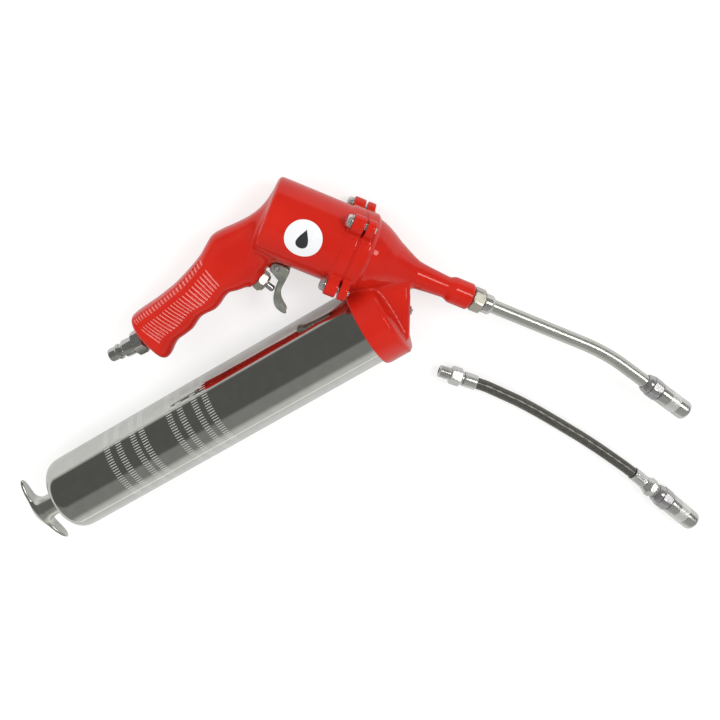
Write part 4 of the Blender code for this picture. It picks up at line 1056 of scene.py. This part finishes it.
turned_part("vent_button", vent_stem, VENT, VENT_DEG, ZINC, ["vent_pin"], body="vent_pin", segments=32, soft=0.15)
cross_pin = [(0, -6.6), (1.45, -6.6), (1.75, -6.2), (1.75, 6.2), (1.45, 6.6), (0, 6.6)]

# ---------------------------------------------------------------- screws, washers and pin


def upright(name, profile, at, material_used, nodes, segments=64):
    """A turned part whose axis is vertical."""
    angle = full_turn(segments)
    rows = [np.stack([at[0] + r * np.cos(angle), at[1] + r * np.sin(angle), np.full(segments + 1, z)], 1)
            for r, z in profile]
    uv = [np.stack([angle / (2 * math.pi), np.full(segments + 1, z / 100)], 1) for r, z in profile]
    quads = strips([(k, k + 1) for k in range(len(profile) - 1)], segments + 1)
    made = weld(make_mesh(name, np.concatenate(rows), np.concatenate(quads), np.concatenate(uv)))
    return finish_piece(made, GUN, material_used, nodes, 40)


upright("trigger_cross_pin", rounded(cross_pin, 0.2), PIVOT, ZINC, ["trigger_pin"])
washer_top = -FLANGE_T - 0.3
head_top = washer_top - 1.1
washer = [(2.8, washer_top - 0.8), (4.9, washer_top - 0.8), (4.9, washer_top), (2.8, washer_top)]
screw = [(0, head_top - 1.4), (2.0, head_top - 1.4, 2.31), (2.0, head_top - 2.6, 2.31), (2.5, head_top - 2.8),
         (3.1, head_top - 2.75), (3.7, head_top - 2.45), (4.2, head_top - 1.9), (4.45, head_top - 1.2),
         (4.5, head_top - 0.8), (4.5, head_top - 0.2), (4.3, head_top), (2.5, head_top), (2.5, 1.2)] + \
    thread(1.2, LUG_FRONT + 0.3, 2.5, 0.3, 0.8) + [(2.2, LUG_FRONT + 0.6), (1.8, LUG_FRONT + 1.3), (0, LUG_FRONT + 1.3)]
sheet_ring = [(CYL_BORE + 0.2, -SEAM + 0.06), (FLANGE_R - 0.12, -SEAM + 0.06), (FLANGE_R - 0.12, SEAM - 0.06),
              (CYL_BORE + 0.2, SEAM - 0.06)]
fine_part("flange_gasket_edge", sheet_ring, (0, 0, 0), 0.0, RED, "flange_gasket")
for number in range(4):
    spot = math.radians(45 + 90 * number)
    across, up = LUG_PCD_R * math.sin(spot), LUG_PCD_R * math.cos(spot)
    place = (0.0, across, up)
    turned_part(f"washer_{number + 1}", washer, place, 0.0, ZINC, [f"flange_washer_{number + 1}"], segments=64,
                soft=0.2)
    turned_part(f"socket_screw_{number + 1}", screw, place, 0.0, ZINC, [f"flange_screw_{number + 1}"], segments=72,
                soft=0)

# ---------------------------------------------------------------- label

LABEL_X, LABEL_TURN, LABEL_R = -35.5, 1.4, 12.9


def circle(radius, count=120):
    angle = np.arange(count) * 2 * math.pi / count
    return np.stack([radius * np.cos(angle), radius * np.sin(angle)], 1)


def layered(outline, lift_low, lift_high, name, surface_material, nodes, middle=(0.0, 0.0)):
    """A thin closed skin: the outline filled from its middle, above and below."""
    centre = np.asarray(middle, float)
    shares = (0.001, 0.25, 0.5, 0.75, 1.0)
    top = [centre + (outline - centre) * share for share in shares]
    rings, lifts = top + top[::-1], [lift_high] * len(top) + [lift_low] * len(top)
    verts = []
    for ring, lift in zip(rings, lifts):
        bend = (ring[:, 0] + LABEL_TURN) / CYL_R
        verts.append(np.stack([LABEL_X + ring[:, 1], (CYL_R + lift) * np.sin(bend), (CYL_R + lift) * np.cos(bend)], 1))
    return finish_piece(capped(name, verts), GUN, surface_material, nodes, 60)


def drop_outline(size, count=96):
    """A plain drop, its point towards the side away from the grip."""
    t = np.arange(count) * 2 * math.pi / count
    narrow = np.sin(t) * np.sin(t / 2) ** 1.6
    return np.stack([size * 1.15 * np.cos(t), size * narrow], 1)


layered(circle(LABEL_R), 0.05, 0.32, "label_disc_film", FILM, ["label_disc"])
layered(drop_outline(6.0), 0.30, 0.36, "label_drop", INK, [], middle=(-2.0, 0.0))

# ---------------------------------------------------------------- inner pieces that keep their CAD shape

INNER = [(RUBBER, "barrel_gasket piston_seal plunger_seal follower_cup valve_seal"), (NICKEL, "plunger_bush"),
         (INNER_STEEL, "air_piston piston_nut plunger return_spring check_ball check_spring follower_plate "
                       "follower_spring valve_spring")]
for inner_material, node_names in INNER:
    for node_name in node_names.split():
        node = frame["nodes"][node_name]
        node.data.materials.clear()
        node.data.materials.append(inner_material)


def shortening(node_name):
    """A copy of a spring's coil, both ends along its axis, attached to the gun's body in place of its CAD node; nothing
    here shortens it.
    """
    node = frame["nodes"][node_name]
    made = bpy.data.objects.new(f"{node_name}_coil", node.data.copy())
    scene.collection.objects.link(made)
    made.matrix_world = node.matrix_world.copy()
    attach(made, GUN)
    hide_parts(node_name)
    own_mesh(made)


shortening("return_spring")
shortening("check_spring")
shortening("follower_spring")
shortening("valve_spring")

# ---------------------------------------------------------------- floor and light

FLOOR_GLOW, FLOOR_GLOW_IN_GLOSS = 0.60, 0.28
floor_mesh = bpy.data.meshes.new("floor")
sheet = bmesh.new()
bmesh.ops.create_grid(sheet, x_segments=4, y_segments=4, size=6.0)
sheet.to_mesh(floor_mesh)
sheet.free()
floor = bpy.data.objects.new("floor", floor_mesh)
floor.location = (0.0, 0.0, -0.0005)
scene.collection.objects.link(floor)
floor_paint = Paint("floor", (0.38, 0.38, 0.38), 0.8)
floor_paint.feed("Base Color", floor_paint.ramp(floor_paint.noise(3.0, 2.0), (0.37, 0.37, 0.37), (0.39, 0.39, 0.39)))
floor_paint.set("Emission Color", (1.0, 1.0, 0.99, 1.0))
seen_in_gloss = floor_paint.nodes.new("ShaderNodeLightPath").outputs["Is Glossy Ray"]
floor_paint.feed("Emission Strength", floor_paint.spread(seen_in_gloss, FLOOR_GLOW, FLOOR_GLOW_IN_GLOSS))
floor_paint.set("Specular IOR Level", 0.0)
floor_mesh.materials.append(floor_paint.material)

world_light = bpy.data.worlds.new("studio")
scene.world = world_light
world_light.use_nodes = True
wn, wl = world_light.node_tree.nodes, world_light.node_tree.links
wn.clear()


def math_node(operation, a, b=None):
    made = wn.new("ShaderNodeMath")
    made.operation = operation
    for slot_number, value in enumerate((a, b)):
        if value is None:
            continue
        if isinstance(value, (int, float)):
            made.inputs[slot_number].default_value = value
        else:
            wl.new(value, made.inputs[slot_number])
    return made.outputs[0]


way = wn.new("ShaderNodeTexCoord").outputs["Generated"]
parts = wn.new("ShaderNodeSeparateXYZ")
wl.new(way, parts.inputs[0])


def towards(x, y, z):
    """How far a direction leans towards a given one, from -1 to 1."""
    size = math.sqrt(x * x + y * y + z * z)
    x_part, y_part, z_part = (math_node("MULTIPLY", parts.outputs[k], v / size) for k, v in enumerate((x, y, z)))
    return math_node("ADD", math_node("ADD", x_part, y_part), z_part)


def fade(value, low, high):
    made = wn.new("ShaderNodeMapRange")
    made.interpolation_type = "SMOOTHSTEP"
    made.inputs["From Min"].default_value = low
    made.inputs["From Max"].default_value = high
    wl.new(value, made.inputs["Value"])
    return made.outputs["Result"]


ROOM, WALL, WALL_MIDDLE, LOW_WALL, STRIP = 0.12, 0.16, 0.45, 0.45, 8.0

# Reflections see a dim room overhead, a paler wall on the lower right, bright low walls
# all round, and a narrow bright strip light overhead.
lower_right = towards(0.62, -0.78, 0.0)
dim = math_node("ADD", ROOM, math_node("MULTIPLY", fade(lower_right, 0.22, 0.40), WALL))
dim = math_node("ADD", dim, math_node("MULTIPLY", fade(lower_right, 0.80, 0.97), WALL_MIDDLE))
low_wall = math_node("SUBTRACT", 1.0, fade(parts.outputs[2], 0.02, 0.12))
glossy_value = math_node("ADD", dim, math_node("MULTIPLY", low_wall, LOW_WALL))
off_strip = math_node("ABSOLUTE", towards(0.0, 0.829, -0.559))
strip = math_node("SUBTRACT", 1.0, fade(off_strip, 0.08, 0.12))
strip = math_node("MULTIPLY", strip, fade(parts.outputs[0], 0.15, 0.19))
strip = math_node("MULTIPLY", strip, math_node("SUBTRACT", 1.0, fade(parts.outputs[0], 0.62, 0.68)))
strip = math_node("MULTIPLY", strip, fade(parts.outputs[2], 0.0, 0.05))
glossy_value = math_node("ADD", glossy_value, math_node("MULTIPLY", strip, STRIP))
paths = wn.new("ShaderNodeLightPath")
glossy = wn.new("ShaderNodeBackground")
wl.new(glossy_value, glossy.inputs["Strength"])
glossy.inputs["Color"].default_value = (1.0, 1.0, 0.97, 1.0)
plain = wn.new("ShaderNodeBackground")
plain.inputs["Color"].default_value = (1.0, 1.0, 1.0, 1.0)
plain.inputs["Strength"].default_value = 1.0
mix = wn.new("ShaderNodeMixShader")
wl.new(paths.outputs["Is Glossy Ray"], mix.inputs[0])
wl.new(plain.outputs[0], mix.inputs[1])
wl.new(glossy.outputs[0], mix.inputs[2])
output = wn.new("ShaderNodeOutputWorld")
wl.new(mix.outputs[0], output.inputs["Surface"])


def area(name, place, size, power):
    data = bpy.data.lights.new(name, "AREA")
    data.shape = "RECTANGLE"
    data.size, data.size_y = size
    data.energy = power
    lamp = bpy.data.objects.new(name, data)
    scene.collection.objects.link(lamp)
    lamp.location = place
    lamp.rotation_euler = (-Vector(place)).to_track_quat("-Z", "Y").to_euler()
    lamp.visible_glossy = False


area("key", (0.5, 0.8, 1.3), (0.5, 0.5), 9.0)
area("fill", (-0.9, 0.3, 0.9), (0.9, 0.9), 5.0)

scene.view_settings.view_transform = "Standard"
